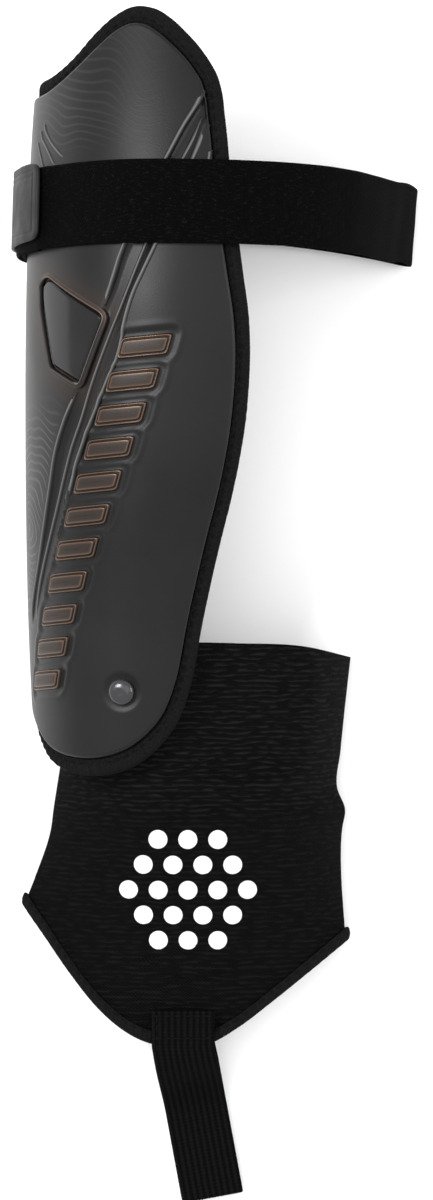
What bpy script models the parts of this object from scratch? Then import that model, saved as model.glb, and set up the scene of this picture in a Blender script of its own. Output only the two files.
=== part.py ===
"""Shin guard with an ankle sock, lying on its left side: ten closed solids, in metres.

+Y runs up the shin, +X to the right and +Z up. The origin is on the floor under the middle of the ankle.
"""

import math

import bpy
import numpy as np

# Guard: a moulded shell on a padded backing, with a tape folded round the backing's edge.
GUARD_LENGTH = 0.2315
SHELL_RADIUS = 0.053
HALF_TURN = math.radians(64.5)
LAY_TURN = math.radians(45)
ANKLE_TO_GUARD = 0.036
SHELL_WALL = 0.0025
SHELL_ROUND = 0.0009
SHELL_MARGIN = 0.0056
BACKING_THICKNESS = 0.005
BACKING_EDGE = 0.003
TAPE_WALL = 0.001
TAPE_SIDE = 0.8
TAPE_CROWN = 1.15
FIT_GAP = 0.0003
CLOTH_GAP = 0.0004

# Relief on the shell: two long ridges, a row of slanted bars, a window and a rivet.
RIDGE_HEIGHT = 0.0006
RIDGE_HALF = 0.0013
BAR_HEIGHT = 0.0009
BAR_HALF_LENGTH = 0.0078
BAR_HALF_WIDTH = 0.003
BAR_COUNT = 11
BAR_SLANT = math.radians(24)
RELIEF_ROOT = 0.0012
WINDOW_DEPTH = 0.0016
WINDOW_INLAY = 0.0008
RIVET_RADIUS = 0.004
RIVET_HEIGHT = 0.0021
RIVET_SHANK = 0.0014
RIVET_SINK = 0.0015

# Calf strap: one flat elastic band, sewn at the guard's left edge, with its end over its start.
STRAP_WIDTH = 0.025
STRAP_THICKNESS = 0.0014
STRAP_FROM_ANKLE = 0.2083
STRAP_DRIFT = 0.0019
STRAP_SKEW = 0.0085
STRAP_SKEW_ENDS = (0.010, 0.025)
STRAP_SKEW_LEFT = -0.030
STRAP_LEAN = 0.085
STRAP_REACH = 0.0725
STRAP_FOLD = 0.0036
STRAP_START = math.radians(-62)
STRAP_LEAVES = math.radians(-108)
STRAP_LANDS = math.radians(16)
STRAP_END = math.radians(-104)
STRAP_CLIMB = math.radians(13)
STRAP_FOLD_TURN = math.radians(110)
STRAP_ARCH = 0.4
TAB_WIDTH = 0.0238
TAB_THICKNESS = 0.0015
TAB_FROM_ANKLE = 0.21
TAB_FROM = math.radians(-57)
TAB_TO = math.radians(-105)
TAB_SQUARENESS = 7

# Ankle sock: a knitted tube lying flat, with a tape along its lower edge.
SOCK_HALF = 0.0505
SOCK_TOP = 0.0758
SOCK_DROP = 0.0492
SOCK_WALL = 0.002
SOCK_FOLD = 0.0042
SOCK_CREST = 0.05
SOCK_FLAT = 0.85
SOCK_SQUARENESS = 2.5
SOCK_FULLNESS = 0.8
SOCK_SOFT = 0.0008
SOCK_STEEPEST = 2.0
CREASE_DEPTH = 0.003
CREASE_HALF = 0.006
CREASE_FROM_ANKLE = 0.0235
CREASE_STARTS = -0.4
HEM_WALL = 0.0008
HEM_LAP = 0.0036
HEM_LIFT_ENDS = (0.06, 0.16)

# Stirrup: one webbing strap, folded at its lower end and sewn on both faces of the sock.
STIRRUP_WIDTH = 0.0195
STIRRUP_THICKNESS = 0.0014
STIRRUP_REACH = 0.0988
STIRRUP_SEWN = 0.0115
STIRRUP_SWING = math.radians(10.5)
STIRRUP_LEFT = 0.0016
STIRRUP_FALL = 0.022
STIRRUP_STEP = 0.0012
STIRRUP_LIFT_ENDS = (0.14, 0.30)

# How finely the curved faces are cut.
GUARD_ACROSS = 18
GUARD_ALONG = 22
SMALL_CELLS = 4
WINDOW_CELLS = 6
SOCK_ROWS = 27
SOCK_COLUMNS = 32
ARC_POINTS = 12
ROUND_POINTS = 20
CREASE_ANGLE = math.radians(35)
END_CROWDING = 0.35

# Columns: share of the guard's length from its lower end; then shares of the shell's radius:
# the section's radius, its reach to the left of the ankle, and its middle's height above the floor.
SECTIONS = np.array([
    (0.00, 0.717, 0.906, 0.210),
    (0.20, 0.792, 0.943, 0.262),
    (0.45, 0.943, 0.955, 0.355),
    (0.65, 1.000, 0.947, 0.392),
    (0.85, 0.962, 0.917, 0.374),
    (1.00, 0.906, 0.868, 0.336),
])
# Columns: share of the half arc from the front line, share of the guard's length. Left to right.
TOP_EDGE = np.array([
    (-0.688, 0.921), (-0.503, 0.925), (-0.336, 0.923), (-0.168, 0.933), (0.000, 0.956),
    (0.134, 0.981), (0.252, 0.996), (0.351, 1.000), (0.453, 0.991), (0.589, 0.965), (0.696, 0.937),
])
# Columns: share of the guard's length, share of the half arc. From the upper corners down.
SIDE_EDGE = np.array([
    (0.902, 0.787), (0.841, 0.839), (0.759, 0.880), (0.664, 0.940), (0.578, 0.995),
    (0.478, 0.995), (0.386, 0.946), (0.293, 0.864), (0.205, 0.789), (0.104, 0.696),
])
# Columns: share of the half arc from the front line, share of the guard's length. Right to left.
LOWER_EDGE = np.array([
    (0.640, 0.072), (0.554, 0.044), (0.403, 0.015), (0.228, 0.001), (0.034, 0.000),
    (-0.173, 0.012), (-0.362, 0.039), (-0.570, 0.074),
])
# Columns: as for the upper edge, along each ridge from its upper end.
RIDGES = (
    np.array([
        (0.690, 0.885), (0.588, 0.798), (0.479, 0.677), (0.330, 0.605), (0.245, 0.543),
        (0.099, 0.485), (0.028, 0.446), (-0.089, 0.376), (-0.161, 0.297), (-0.245, 0.231),
        (-0.310, 0.180),
    ]),
    np.array([
        (0.315, 0.690), (0.214, 0.612), (0.095, 0.532), (-0.030, 0.478), (-0.120, 0.406),
        (-0.216, 0.297), (-0.303, 0.231), (-0.355, 0.185),
    ]),
)
# Columns: as for the upper edge. The middles of the first bar and the last one.
BAR_ROW = np.array([(0.445, 0.556), (-0.165, 0.125)])
# Columns: as for the upper edge. The window's corners, from the upper left one clockwise.
WINDOW_SIDES = (
    np.array([(-0.290, 0.645), (-0.215, 0.655), (0.218, 0.597)]),
    np.array([(0.218, 0.597), (0.069, 0.510)]),
    np.array([(0.069, 0.510), (-0.158, 0.536)]),
    np.array([(-0.158, 0.536), (-0.282, 0.620), (-0.290, 0.645)]),
)
RIVET_AT = np.array([0.347, 0.1114])
# Columns: place across the sock from the left fold at -1 to the right one at 1, share of its drop
# below the ankle.
HEM_EDGE = np.array([
    (-1.00, 0.130), (-0.88, 0.290), (-0.72, 0.520), (-0.55, 0.740), (-0.35, 0.915), (-0.12, 1.000),
    (0.14, 0.985), (0.32, 0.880), (0.55, 0.700), (0.80, 0.500), (0.93, 0.400), (1.00, 0.350),
])
# Columns: place across the sock, share of its top's height above the ankle.
MOUTH_EDGE = np.array([(-1.0, 1.000), (0.2, 1.000), (0.7, 0.985), (1.0, 0.943)])
# Columns: share of the way from the ankle up to the sock's top, then shares of its half width left
# and right of the ankle.
SOCK_FOLDS = np.array([
    (-0.264, 1.030, 0.985), (-0.084, 1.020, 0.965), (0.026, 0.960, 0.955), (0.228, 0.861, 0.960),
    (0.310, 0.845, 0.978), (0.396, 0.825, 0.930), (0.554, 0.790, 0.950), (1.000, 0.780, 1.022),
])
# Columns: share of the way from the ankle up to the sock's top, share of its crest above the floor.
CRESTS = np.array([
    (-0.649, 0.308), (-0.501, 0.370), (-0.264, 0.458), (0.000, 0.572), (0.264, 0.704),
    (0.475, 0.860), (0.726, 0.990), (1.000, 1.000),
])
# Colour, roughness and metallic of each piece.
MATERIALS = {
    "shell": ((0.045, 0.045, 0.048), 0.42, 0.0),
    "window_inlay": ((0.012, 0.012, 0.013), 0.12, 0.0),
    "rivet": ((0.050, 0.050, 0.055), 0.15, 0.4),
    "backing": ((0.012, 0.012, 0.013), 0.85, 0.0),
    "edge_binding": ((0.010, 0.010, 0.011), 0.90, 0.0),
    "calf_strap": ((0.009, 0.009, 0.010), 0.80, 0.0),
    "strap_tab": ((0.022, 0.022, 0.024), 0.50, 0.0),
    "ankle_sock": ((0.010, 0.010, 0.011), 0.92, 0.0),
    "sock_hem": ((0.010, 0.010, 0.011), 0.85, 0.0),
    "stirrup_strap": ((0.014, 0.014, 0.015), 0.80, 0.0),
}

HALF_ARC = SHELL_RADIUS * HALF_TURN
SHELL_UNDER = -SHELL_WALL
BACKING_TOP = SHELL_UNDER - FIT_GAP
BACKING_UNDER = BACKING_TOP - BACKING_THICKNESS
BACKING_RIM_UNDER = BACKING_TOP - BACKING_EDGE
TAPE_REACH = TAPE_WALL + FIT_GAP


def smooth(at, knots, values):
    """Smooth curve through the values at the knots, read at each place in at."""
    at = np.asarray(at, float)
    slope = np.gradient(values, knots)
    i = np.clip(np.searchsorted(knots, at) - 1, 0, len(knots) - 2)
    step = knots[i + 1] - knots[i]
    t = np.clip((at - knots[i]) / step, 0, 1)
    rise = t * t * (3 - 2 * t)
    start = values[i] + step * slope[i] * t * (1 - t) ** 2
    end = step * slope[i + 1] * t * t * (t - 1)
    return start + (values[i + 1] - values[i]) * rise + end


def ramp(at, low, high):
    """0 below low, 1 above high and a soft step between them."""
    t = np.clip((at - low) / (high - low), 0, 1)
    return t * t * (3 - 2 * t)


def section(y):
    """Middle, middle's height and radius of the shell's section at a place along the shin."""
    share = (y - ANKLE_TO_GUARD) / GUARD_LENGTH
    radius, left, height = (
        SHELL_RADIUS * smooth(share, SECTIONS[:, 0], SECTIONS[:, k]) for k in (1, 2, 3)
    )
    return radius - left, height, radius


def on_guard(at, out):
    """Points for places (arc from the front line, place along the shin), out from the shell's face."""
    centre, height, radius = section(at[..., 1])
    turn = at[..., 0] / radius - LAY_TURN
    reach = radius + out
    return np.stack(
        [centre + reach * np.sin(turn), at[..., 1], height + reach * np.cos(turn)], axis=-1
    )


def guard_places(shares):
    """Places on the guard for shares of its half arc and of its length."""
    return shares * (HALF_ARC, GUARD_LENGTH) + (0, ANKLE_TO_GUARD)


def crowded(count):
    """Shares from 0 to 1, closer together near both ends."""
    t = np.linspace(0, 1, count + 1)
    return t - END_CROWDING * np.sin(2 * np.pi * t) / (2 * np.pi)


def guard_loop():
    """Outer line of the tape, from its upper left corner clockwise, as places on the guard."""
    down = SIDE_EDGE[:, ::-1]
    up = (down * (-1, 1))[::-1]
    knots = guard_places(np.vstack([up[-1:], TOP_EDGE, down, LOWER_EDGE, up[:-1]]))
    around = np.vstack([knots[-2:], knots, knots[:3]])
    path = np.r_[0, np.cumsum(np.linalg.norm(np.diff(around, axis=0), axis=1))]
    corners = np.cumsum([2, len(TOP_EDGE) + 1, len(down) - 1, len(LOWER_EDGE) + 1, len(up) - 1])
    counts = (GUARD_ACROSS, GUARD_ALONG, GUARD_ACROSS, GUARD_ALONG)
    at = [
        path[a] + (path[b] - path[a]) * crowded(n)[:-1]
        for a, b, n in zip(corners, corners[1:], counts)
    ]
    at = np.concatenate(at)
    return np.stack([smooth(at, path, around[:, k]) for k in (0, 1)], axis=-1)


def straight_loop(sides, count):
    """Closed line with straight runs between the points of its four sides."""
    loop = []
    for side in sides:
        path = np.r_[0, np.cumsum(np.linalg.norm(np.diff(side, axis=0), axis=1))]
        at = np.linspace(0, path[-1], count + 1)[:-1]
        loop.append(np.stack([np.interp(at, path, side[:, k]) for k in (0, 1)], axis=-1))
    return np.concatenate(loop)


def inset(loop, by):
    """The closed clockwise line again, moved inwards by a distance."""
    along = np.roll(loop, -1, axis=0) - np.roll(loop, 1, axis=0)
    inward = np.stack([along[:, 1], -along[:, 0]], axis=-1)
    return loop + by * inward / np.linalg.norm(inward, axis=1, keepdims=True)


def net(loop, across, along):
    """Grid of places that fills a closed line of four sides."""
    u = np.linspace(0, 1, across + 1)[:, None, None]
    v = np.linspace(0, 1, along + 1)[None, :, None]
    top = loop[: across + 1][:, None]
    right = loop[across : across + along + 1][None]
    bottom = loop[across + along : 2 * across + along + 1][::-1][:, None]
    left = np.concatenate([loop[:1], loop[::-1][:along]])[None]
    corners = (
        (1 - u) * (1 - v) * top[0, 0]
        + u * (1 - v) * top[-1, 0]
        + u * v * bottom[-1, 0]
        + (1 - u) * v * bottom[0, 0]
    )
    return (1 - v) * top + v * bottom + (1 - u) * left + u * right - corners


def bands(rows, closed):
    """Four-sided faces between following rows of point numbers."""
    here, there = rows[:-1], rows[1:]
    if closed:
        turned = [np.roll(r, -1, axis=1) for r in (here, there)]
    else:
        here, there, turned = here[:, :-1], there[:, :-1], [here[:, 1:], there[:, 1:]]
    return np.stack([here, turned[0], turned[1], there], axis=-1).reshape(-1, 4).tolist()


def add_solid(name, points, faces):
    """Object with these points and faces, turned so that its faces look outwards."""
    mesh = bpy.data.meshes.new(name)
    mesh.from_pydata(points.tolist(), [], faces)
    mesh.calc_loop_triangles()
    corners = np.array([points[list(t.vertices)] for t in mesh.loop_triangles])
    if np.linalg.det(corners).sum() < 0:
        mesh.flip_normals()
    mesh.polygons.foreach_set("use_smooth", [True] * len(mesh.polygons))
    mesh.set_sharp_from_angle(angle=CREASE_ANGLE)
    piece = bpy.data.objects.new(name, mesh)
    bpy.context.scene.collection.objects.link(piece)
    if name in MATERIALS:
        colour, roughness, metallic = MATERIALS[name]
        material = bpy.data.materials.new(name)
        material.use_nodes = True
        shader = material.node_tree.nodes["Principled BSDF"]
        shader.inputs["Base Color"].default_value = (*colour, 1)
        shader.inputs["Roughness"].default_value = roughness
        shader.inputs["Metallic"].default_value = metallic
        mesh.materials.append(material)
    return piece


def plate(name, rings, cells, upper_middle=None, under_middle=None):
    """Curved plate on the guard.

    Its rings are (closed line, height out of the shell's face), from the upper face's edge over the
    rim to the lower face's edge. A middle height is that of the face inside its edge.
    """
    across, along = cells
    shape = (across + 1, along + 1)
    count = shape[0] * shape[1]
    i = np.r_[np.arange(across), [across] * along, np.arange(across, 0, -1), [0] * along]
    j = np.r_[[0] * across, np.arange(along), [along] * across, np.arange(along, 0, -1)]
    edge = i * shape[1] + j
    points = []
    for (loop, out), middle in ((rings[0], upper_middle), (rings[-1], under_middle)):
        height = np.full(shape, out)
        if middle is not None:
            height[1:-1, 1:-1] = middle
        points.append(on_guard(net(loop, across, along), height).reshape(-1, 3))
    rows = [edge]
    for k, (loop, out) in enumerate(rings[1:-1]):
        points.append(on_guard(loop, np.full(len(loop), out)))
        rows.append(2 * count + k * len(loop) + np.arange(len(loop)))
    rows.append(count + edge)
    upper = np.arange(count).reshape(shape)
    faces = bands(np.array(rows), True)
    faces += bands(upper, False)
    faces += bands(upper[::-1] + count, False)
    return add_solid(name, np.concatenate(points), faces)


def swept(name, rows, closed_rows=False):
    """Solid through rows of points: each row is a closed profile, and open rows get flat ends."""
    rows = np.asarray(rows)
    numbers = np.arange(rows.shape[0] * rows.shape[1]).reshape(rows.shape[:2])
    if closed_rows:
        faces = bands(np.vstack([numbers, numbers[:1]]), True)
    else:
        faces = bands(numbers, True)
        faces += [numbers[0][::-1].tolist(), numbers[-1].tolist()]
    return add_solid(name, rows.reshape(-1, 3), faces)


def turned(name, profile, at, count):
    """Round piece on the shell: a profile of (radius, height) turned about the line out of the face."""
    steps = np.array([(0, 0), (FIT_GAP, 0), (0, FIT_GAP)])
    foot, aside, ahead = on_guard(at + steps, np.zeros(len(steps)))
    axis = np.cross(aside - foot, ahead - foot)
    axis /= np.linalg.norm(axis)
    aside = np.cross((0, 1, 0), axis)
    aside /= np.linalg.norm(aside)
    ahead = np.cross(axis, aside)
    turn = np.linspace(0, 2 * np.pi, count, endpoint=False)[:, None]
    round_ = np.cos(turn) * aside + np.sin(turn) * ahead
    rows = [foot + r * round_ + h * axis for r, h in profile]
    return swept(name, rows)


def relief_strip(name, path, half, height):
    """Raised strip on the shell along a line of places, rooted inside the shell."""
    along = np.gradient(path, axis=0)
    aside = np.stack([-along[:, 1], along[:, 0]], axis=-1)
    aside /= np.linalg.norm(aside, axis=1, keepdims=True)
    profile = ((half, -RELIEF_ROOT), (half - height / 2, height))
    columns = [on_guard(path - a * aside, np.full(len(path), out)) for a, out in profile]
    columns += [on_guard(path + a * aside, np.full(len(path), out)) for a, out in profile[::-1]]
    return swept(name, np.stack(columns, axis=1))


def change(piece, tool, operation):
    """Joins a helper to a piece, or cuts it away."""
    tool.hide_render = True
    step = piece.modifiers.new(tool.name, "BOOLEAN")
    step.operation = operation
    step.solver = "EXACT"
    step.object = tool


def build_shell(loop):
    """The moulded shell with its ridges, bars, window pocket and rivet hole."""
    edge = inset(loop, SHELL_MARGIN)
    face = inset(loop, SHELL_MARGIN + SHELL_ROUND)
    rings = [(face, 0.0), (edge, -SHELL_ROUND), (edge, SHELL_UNDER)]
    shell = plate("shell", rings, (GUARD_ACROSS, GUARD_ALONG))
    for k, ridge in enumerate(RIDGES):
        path = guard_places(ridge)
        change(shell, relief_strip(f"ridge_{k}", path, RIDGE_HALF, RIDGE_HEIGHT), "UNION")
    first, last = guard_places(BAR_ROW)
    row = (last - first) / np.linalg.norm(last - first)
    across = math.cos(BAR_SLANT) * np.array([-row[1], row[0]]) - math.sin(BAR_SLANT) * row
    reach = np.linspace(-BAR_HALF_LENGTH, BAR_HALF_LENGTH, SMALL_CELLS)[:, None] * across
    for k, share in enumerate(np.linspace(0, 1, BAR_COUNT)):
        path = first + (last - first) * share + reach
        change(shell, relief_strip(f"bar_{k}", path, BAR_HALF_WIDTH, BAR_HEIGHT), "UNION")
    window = straight_loop([guard_places(side) for side in WINDOW_SIDES], WINDOW_CELLS)
    pocket = [(window, RELIEF_ROOT), (window, -WINDOW_DEPTH)]
    change(shell, plate("pocket", pocket, (WINDOW_CELLS, WINDOW_CELLS)), "DIFFERENCE")
    glass = inset(window, FIT_GAP)
    floor = FIT_GAP - WINDOW_DEPTH
    inlay = [(glass, floor + WINDOW_INLAY), (glass, floor)]
    plate("window_inlay", inlay, (WINDOW_CELLS, WINDOW_CELLS))
    at = guard_places(RIVET_AT)
    hole = RIVET_SHANK + FIT_GAP
    bore = [(hole, RELIEF_ROOT), (hole, -RIVET_SINK - FIT_GAP)]
    change(shell, turned("rivet_hole", bore, at, ROUND_POINTS), "DIFFERENCE")
    tilt = np.linspace(np.pi / 2, 0, SMALL_CELLS + 1)[1:]
    dome = [(RIVET_RADIUS * np.cos(a), FIT_GAP + RIVET_HEIGHT * np.sin(a)) for a in tilt]
    stem = [(RIVET_SHANK, FIT_GAP), (RIVET_SHANK, -RIVET_SINK)]
    turned("rivet", dome + stem, at, ROUND_POINTS)


def build_backing(loop):
    """The padded backing, thinner along its edge, and the tape folded round that edge."""
    edge = inset(loop, TAPE_REACH)
    lip = inset(loop, SHELL_MARGIN + FIT_GAP)
    upper = [(lip, BACKING_TOP), (edge, BACKING_TOP)]
    rings = upper + [(edge, BACKING_RIM_UNDER), (lip, BACKING_RIM_UNDER)]
    plate("backing", rings, (GUARD_ACROSS, GUARD_ALONG), under_middle=BACKING_UNDER)
    lap = SHELL_MARGIN - CLOTH_GAP
    side = TAPE_WALL * TAPE_SIDE
    over, under = BACKING_TOP + FIT_GAP, BACKING_RIM_UNDER - FIT_GAP
    profile = (
        (lap, over),
        (lap, over + side),
        (lap / 2, over + TAPE_WALL * TAPE_CROWN),
        (TAPE_WALL, over + side),
        (0, over - TAPE_WALL / 2),
        (0, under + TAPE_WALL / 2),
        (TAPE_WALL, under - side),
        (lap, under - side),
        (lap, under),
        (TAPE_WALL, under),
        (TAPE_WALL, over),
    )
    columns = [on_guard(inset(loop, d), np.full(len(loop), out)) for d, out in profile]
    swept("edge_binding", np.stack(columns, axis=1), closed_rows=True)


def strap_line(y):
    """One edge of the strap's middle face: places (x, z) from its sewn start round to its end."""
    centre, height, radius = (float(value) for value in section(np.array(y)))
    first = radius + FIT_GAP + STRAP_THICKNESS / 2
    second = first + STRAP_THICKNESS + FIT_GAP

    def on_arc(turn, reach):
        return np.stack([centre + reach * np.sin(turn), height + reach * np.cos(turn)], axis=-1)

    start = on_arc(np.linspace(STRAP_START, STRAP_LEAVES, ARC_POINTS), first)
    bend = np.linspace(np.pi + STRAP_LEAVES, 0, ARC_POINTS)[1:]
    drop = start[-1, 1] - STRAP_THICKNESS / 2
    bow = drop / (1 - math.cos(bend[0] + (bend[0] - bend[1])))
    lean = np.pi + STRAP_LEAVES
    landing = np.stack(
        [
            start[-1, 0] + bow * (math.sin(lean) - np.sin(bend)),
            start[-1, 1] - bow * (np.cos(bend) - math.cos(lean)),
        ],
        axis=-1,
    )
    reach = STRAP_REACH - STRAP_LEAN * (STRAP_FROM_ANKLE + STRAP_WIDTH / 2 - y)
    middle = np.array([reach - STRAP_THICKNESS / 2 - STRAP_FOLD, STRAP_THICKNESS / 2 + STRAP_FOLD])
    tilt = np.linspace(0, STRAP_FOLD_TURN, ARC_POINTS)[:, None]
    fold = middle + STRAP_FOLD * np.hstack([np.sin(tilt), -np.cos(tilt)])
    run = landing[-1] + (fold[0] - landing[-1]) * np.linspace(0, 1, SMALL_CELLS)[1:-1, None]
    turn = np.linspace(STRAP_LANDS, STRAP_END, 3 * ARC_POINTS)
    lift = RIDGE_HEIGHT * ramp(turn, STRAP_START + 2 * STRAP_CLIMB, STRAP_START + 3 * STRAP_CLIMB)
    climb = 1 - ramp(turn, STRAP_START + FIT_GAP / radius, STRAP_START + STRAP_CLIMB)
    over = on_arc(turn, first + lift + (second - first) * climb)
    out = np.array([-math.sin(STRAP_FOLD_TURN - np.pi / 2), math.cos(STRAP_FOLD_TURN - np.pi / 2)])
    into = np.array([-math.cos(STRAP_LANDS), math.sin(STRAP_LANDS)])
    pull = STRAP_ARCH * np.linalg.norm(over[0] - fold[-1])
    t = np.linspace(0, 1, ARC_POINTS + 2)[1:-1, None]
    arch = (
        (1 - t) ** 3 * fold[-1]
        + 3 * t * (1 - t) ** 2 * (fold[-1] + pull * out)
        + 3 * t * t * (1 - t) * (over[0] - pull * into)
        + t**3 * over[0]
    )
    return np.concatenate([start, landing, run, fold, arch, over])


def build_strap():
    """The calf strap, and the pull tab over its end."""
    lines = []
    for side in (-1, 1):
        y = STRAP_FROM_ANKLE + side * STRAP_WIDTH / 2
        line = strap_line(y)
        along = np.gradient(line, axis=0)
        out = np.stack([along[:, 1], -along[:, 0]], axis=-1)
        out *= STRAP_THICKNESS / 2 / np.linalg.norm(out, axis=1, keepdims=True)
        drift = y - STRAP_DRIFT * (line[:, 0] / STRAP_REACH + 1) / 2
        skew = STRAP_SKEW * (1 - np.clip(line[:, 0] / STRAP_REACH, 0, 1) ** 2)
        skew *= ramp(line[:, 0], STRAP_SKEW_LEFT, 0)
        drift += skew * (1 - ramp(line[:, 1], *STRAP_SKEW_ENDS))
        for face in (line + side * out, line - side * out):
            lines.append(np.stack([face[:, 0], drift, face[:, 1]], axis=-1))
    swept("calf_strap", np.stack(lines, axis=1))
    floor = 3 * FIT_GAP + 2 * STRAP_THICKNESS
    radius = float(section(np.array(TAB_FROM_ANKLE))[2])
    middle = (TAB_FROM + TAB_TO) / 2 + LAY_TURN
    half = np.array([radius * (TAB_FROM - TAB_TO), TAB_WIDTH]) / 2
    sides = []
    for first in np.array([0.75, 0.25, -0.25, -0.75]) * np.pi:
        turn = np.linspace(first, first - np.pi / 2, ROUND_POINTS)
        way = np.stack([np.cos(turn), np.sin(turn)], axis=-1)
        squared = np.sign(way) * np.abs(way) ** (2 / TAB_SQUARENESS)
        sides.append(half * squared + (radius * middle, TAB_FROM_ANKLE))
    loop = straight_loop(sides, WINDOW_CELLS)
    rings = [
        (inset(loop, TAB_THICKNESS / 2), floor + TAB_THICKNESS),
        (loop, floor + TAB_THICKNESS / 2),
        (loop, floor),
    ]
    plate("strap_tab", rings, (WINDOW_CELLS, WINDOW_CELLS))


def room_under_guard(x, y, depth):
    """How high cloth may lie under the guard: inside its backing, then straight on from its edge."""
    centre, height, radius = section(y)
    inside = radius + BACKING_UNDER - FIT_GAP - depth
    edge = centre + inside * math.sin(STRAP_LANDS)
    bow = height + np.sqrt(np.clip(inside**2 - (x - centre) ** 2, 0, None))
    slope = height + inside * math.cos(STRAP_LANDS) - (x - edge) * math.tan(STRAP_LANDS)
    below = np.clip(ANKLE_TO_GUARD - y - FIT_GAP, 0, None)
    return np.where(x > edge, slope, bow) + SOCK_STEEPEST * below


def sock_face(depth):
    """Rows of points from the hem to the mouth on the sock's outside, or that deep inside its wall."""
    column = np.arange(SOCK_COLUMNS)
    turn = 2 * np.pi * column[None] / SOCK_COLUMNS
    up = np.linspace(0, 1, SOCK_ROWS)[:, None]
    place = -np.cos(turn)
    low = -SOCK_DROP * smooth(place, HEM_EDGE[:, 0], HEM_EDGE[:, 1])
    high = SOCK_TOP * smooth(place, MOUTH_EDGE[:, 0], MOUTH_EDGE[:, 1])
    y = low + (high - low) * up
    folds = []
    for end, share in ((0, 1), (SOCK_COLUMNS // 2, 2)):
        level = y[:, end : end + 1] / SOCK_TOP
        folds.append(SOCK_HALF * smooth(level, SOCK_FOLDS[:, 0], SOCK_FOLDS[:, share]) - depth)
    left, right = -folds[0], folds[1]
    x = left + (right - left) * (1 + place) / 2
    near_middle = 1 - ramp(np.abs(x + STIRRUP_LEFT), STIRRUP_WIDTH / 2, STIRRUP_WIDTH)
    lift = (HEM_WALL + FIT_GAP) * (1 - ramp(up, *HEM_LIFT_ENDS))
    lift = lift + (STIRRUP_THICKNESS + FIT_GAP) * (1 - ramp(up, *STIRRUP_LIFT_ENDS)) * near_middle
    middle = lift + SOCK_FOLD
    crest = SOCK_CREST * smooth(y / SOCK_TOP, CRESTS[:, 0], CRESTS[:, 1]) - depth
    free = middle + (crest - middle) * (1 - np.abs(place) ** SOCK_SQUARENESS) ** SOCK_FULLNESS
    dent = np.exp(-(((y - CREASE_FROM_ANKLE) / CREASE_HALF) ** 2))
    dent = dent * ramp(x / SOCK_HALF, CREASE_STARTS, 0) * np.sqrt(np.sin(turn).clip(0))
    free = free - CREASE_DEPTH * dent
    room = room_under_guard(x, y, depth)
    top = -SOCK_SOFT * np.log(np.exp(-free / SOCK_SOFT) + np.exp(-room / SOCK_SOFT))
    side = np.clip((np.abs(place) - SOCK_FLAT) / (1 - SOCK_FLAT), 0, 1)
    bottom = lift + depth + (SOCK_FOLD - depth) * (1 - np.sqrt(1 - side**2))
    z = np.where((column > 0) & (column < SOCK_COLUMNS // 2), top, bottom)
    return np.stack([x, y, z], axis=-1)


def build_sock():
    """The knitted tube and the tape round its lower edge. Returns the sock's outer points."""
    outer, inner = sock_face(0), sock_face(SOCK_WALL)
    numbers = np.arange(SOCK_ROWS * SOCK_COLUMNS).reshape(SOCK_ROWS, SOCK_COLUMNS)
    loops = np.vstack([numbers, numbers[::-1] + numbers.size, numbers[:1]])
    add_solid("ankle_sock", np.vstack([outer.reshape(-1, 3), inner.reshape(-1, 3)]), bands(loops, True))
    sides = []
    for face, way in ((outer, 1), (inner, -1)):
        around = np.roll(face[0], -1, axis=0) - np.roll(face[0], 1, axis=0)
        into = face[1] - face[0]
        into /= np.linalg.norm(into, axis=1, keepdims=True)
        out = np.cross(around, into) * way
        out /= np.linalg.norm(out, axis=1, keepdims=True)
        sides.append((face[0], into, out))
    past = FIT_GAP + HEM_WALL
    profile = (
        (0, HEM_LAP, FIT_GAP),
        (0, HEM_LAP, past),
        (0, 0, past),
        (0, -past, 0),
        (1, -past, 0),
        (1, 0, past),
        (1, HEM_LAP, past),
        (1, HEM_LAP, FIT_GAP),
        (1, -FIT_GAP, FIT_GAP),
        (0, -FIT_GAP, FIT_GAP),
    )
    columns = [sides[k][0] + d * sides[k][1] + n * sides[k][2] for k, d, n in profile]
    swept("sock_hem", np.stack(columns, axis=1), closed_rows=True)
    return outer


def build_stirrup(outer):
    """The webbing strap from the sock's near face down to its fold and back to the far face."""
    column = outer[:, SOCK_COLUMNS // 4]
    hem = float(column[0, 1])
    top = hem + STIRRUP_SEWN
    half = STIRRUP_THICKNESS / 2
    y = np.linspace(top, -STIRRUP_REACH + half, 2 * ARC_POINTS)
    sewn = np.interp(y, column[:, 1], column[:, 2]) + HEM_WALL + 3 * FIT_GAP + half
    sewn = sewn + STIRRUP_STEP * ramp(-y, -hem - 2 * HEM_LAP, -hem)
    rest = 3 * half + FIT_GAP
    fall = ramp(-y, -hem + HEM_LAP / 2, -hem + STIRRUP_FALL)
    near = sewn + (rest - sewn) * fall
    tilt = np.linspace(0, np.pi, SMALL_CELLS + 1)[1:-1]
    fold = half + FIT_GAP / 2
    bend_y = y[-1] - fold * np.sin(tilt)
    bend_z = half + fold + fold * np.cos(tilt)
    path_y = np.r_[y, bend_y, y[::-1]]
    path_z = np.r_[near, bend_z, np.full(len(y), half)]
    below = np.clip(hem - path_y, 0, None)
    path_x = -STIRRUP_LEFT + math.tan(STIRRUP_SWING) * below
    swing = STIRRUP_SWING * ramp(below, 0, STIRRUP_SEWN)
    side = np.stack([np.cos(swing), np.sin(swing), np.zeros(len(swing))], axis=-1)
    middle = np.stack([path_x, path_y, path_z], axis=-1)
    along = np.gradient(middle, axis=0)
    out = np.cross(along, side)
    out *= half / np.linalg.norm(out, axis=1, keepdims=True)
    side *= STIRRUP_WIDTH / 2
    corners = (side + out, side - out, -side - out, -side + out)
    swept("stirrup_strap", np.stack([middle + corner for corner in corners], axis=1))


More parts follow.
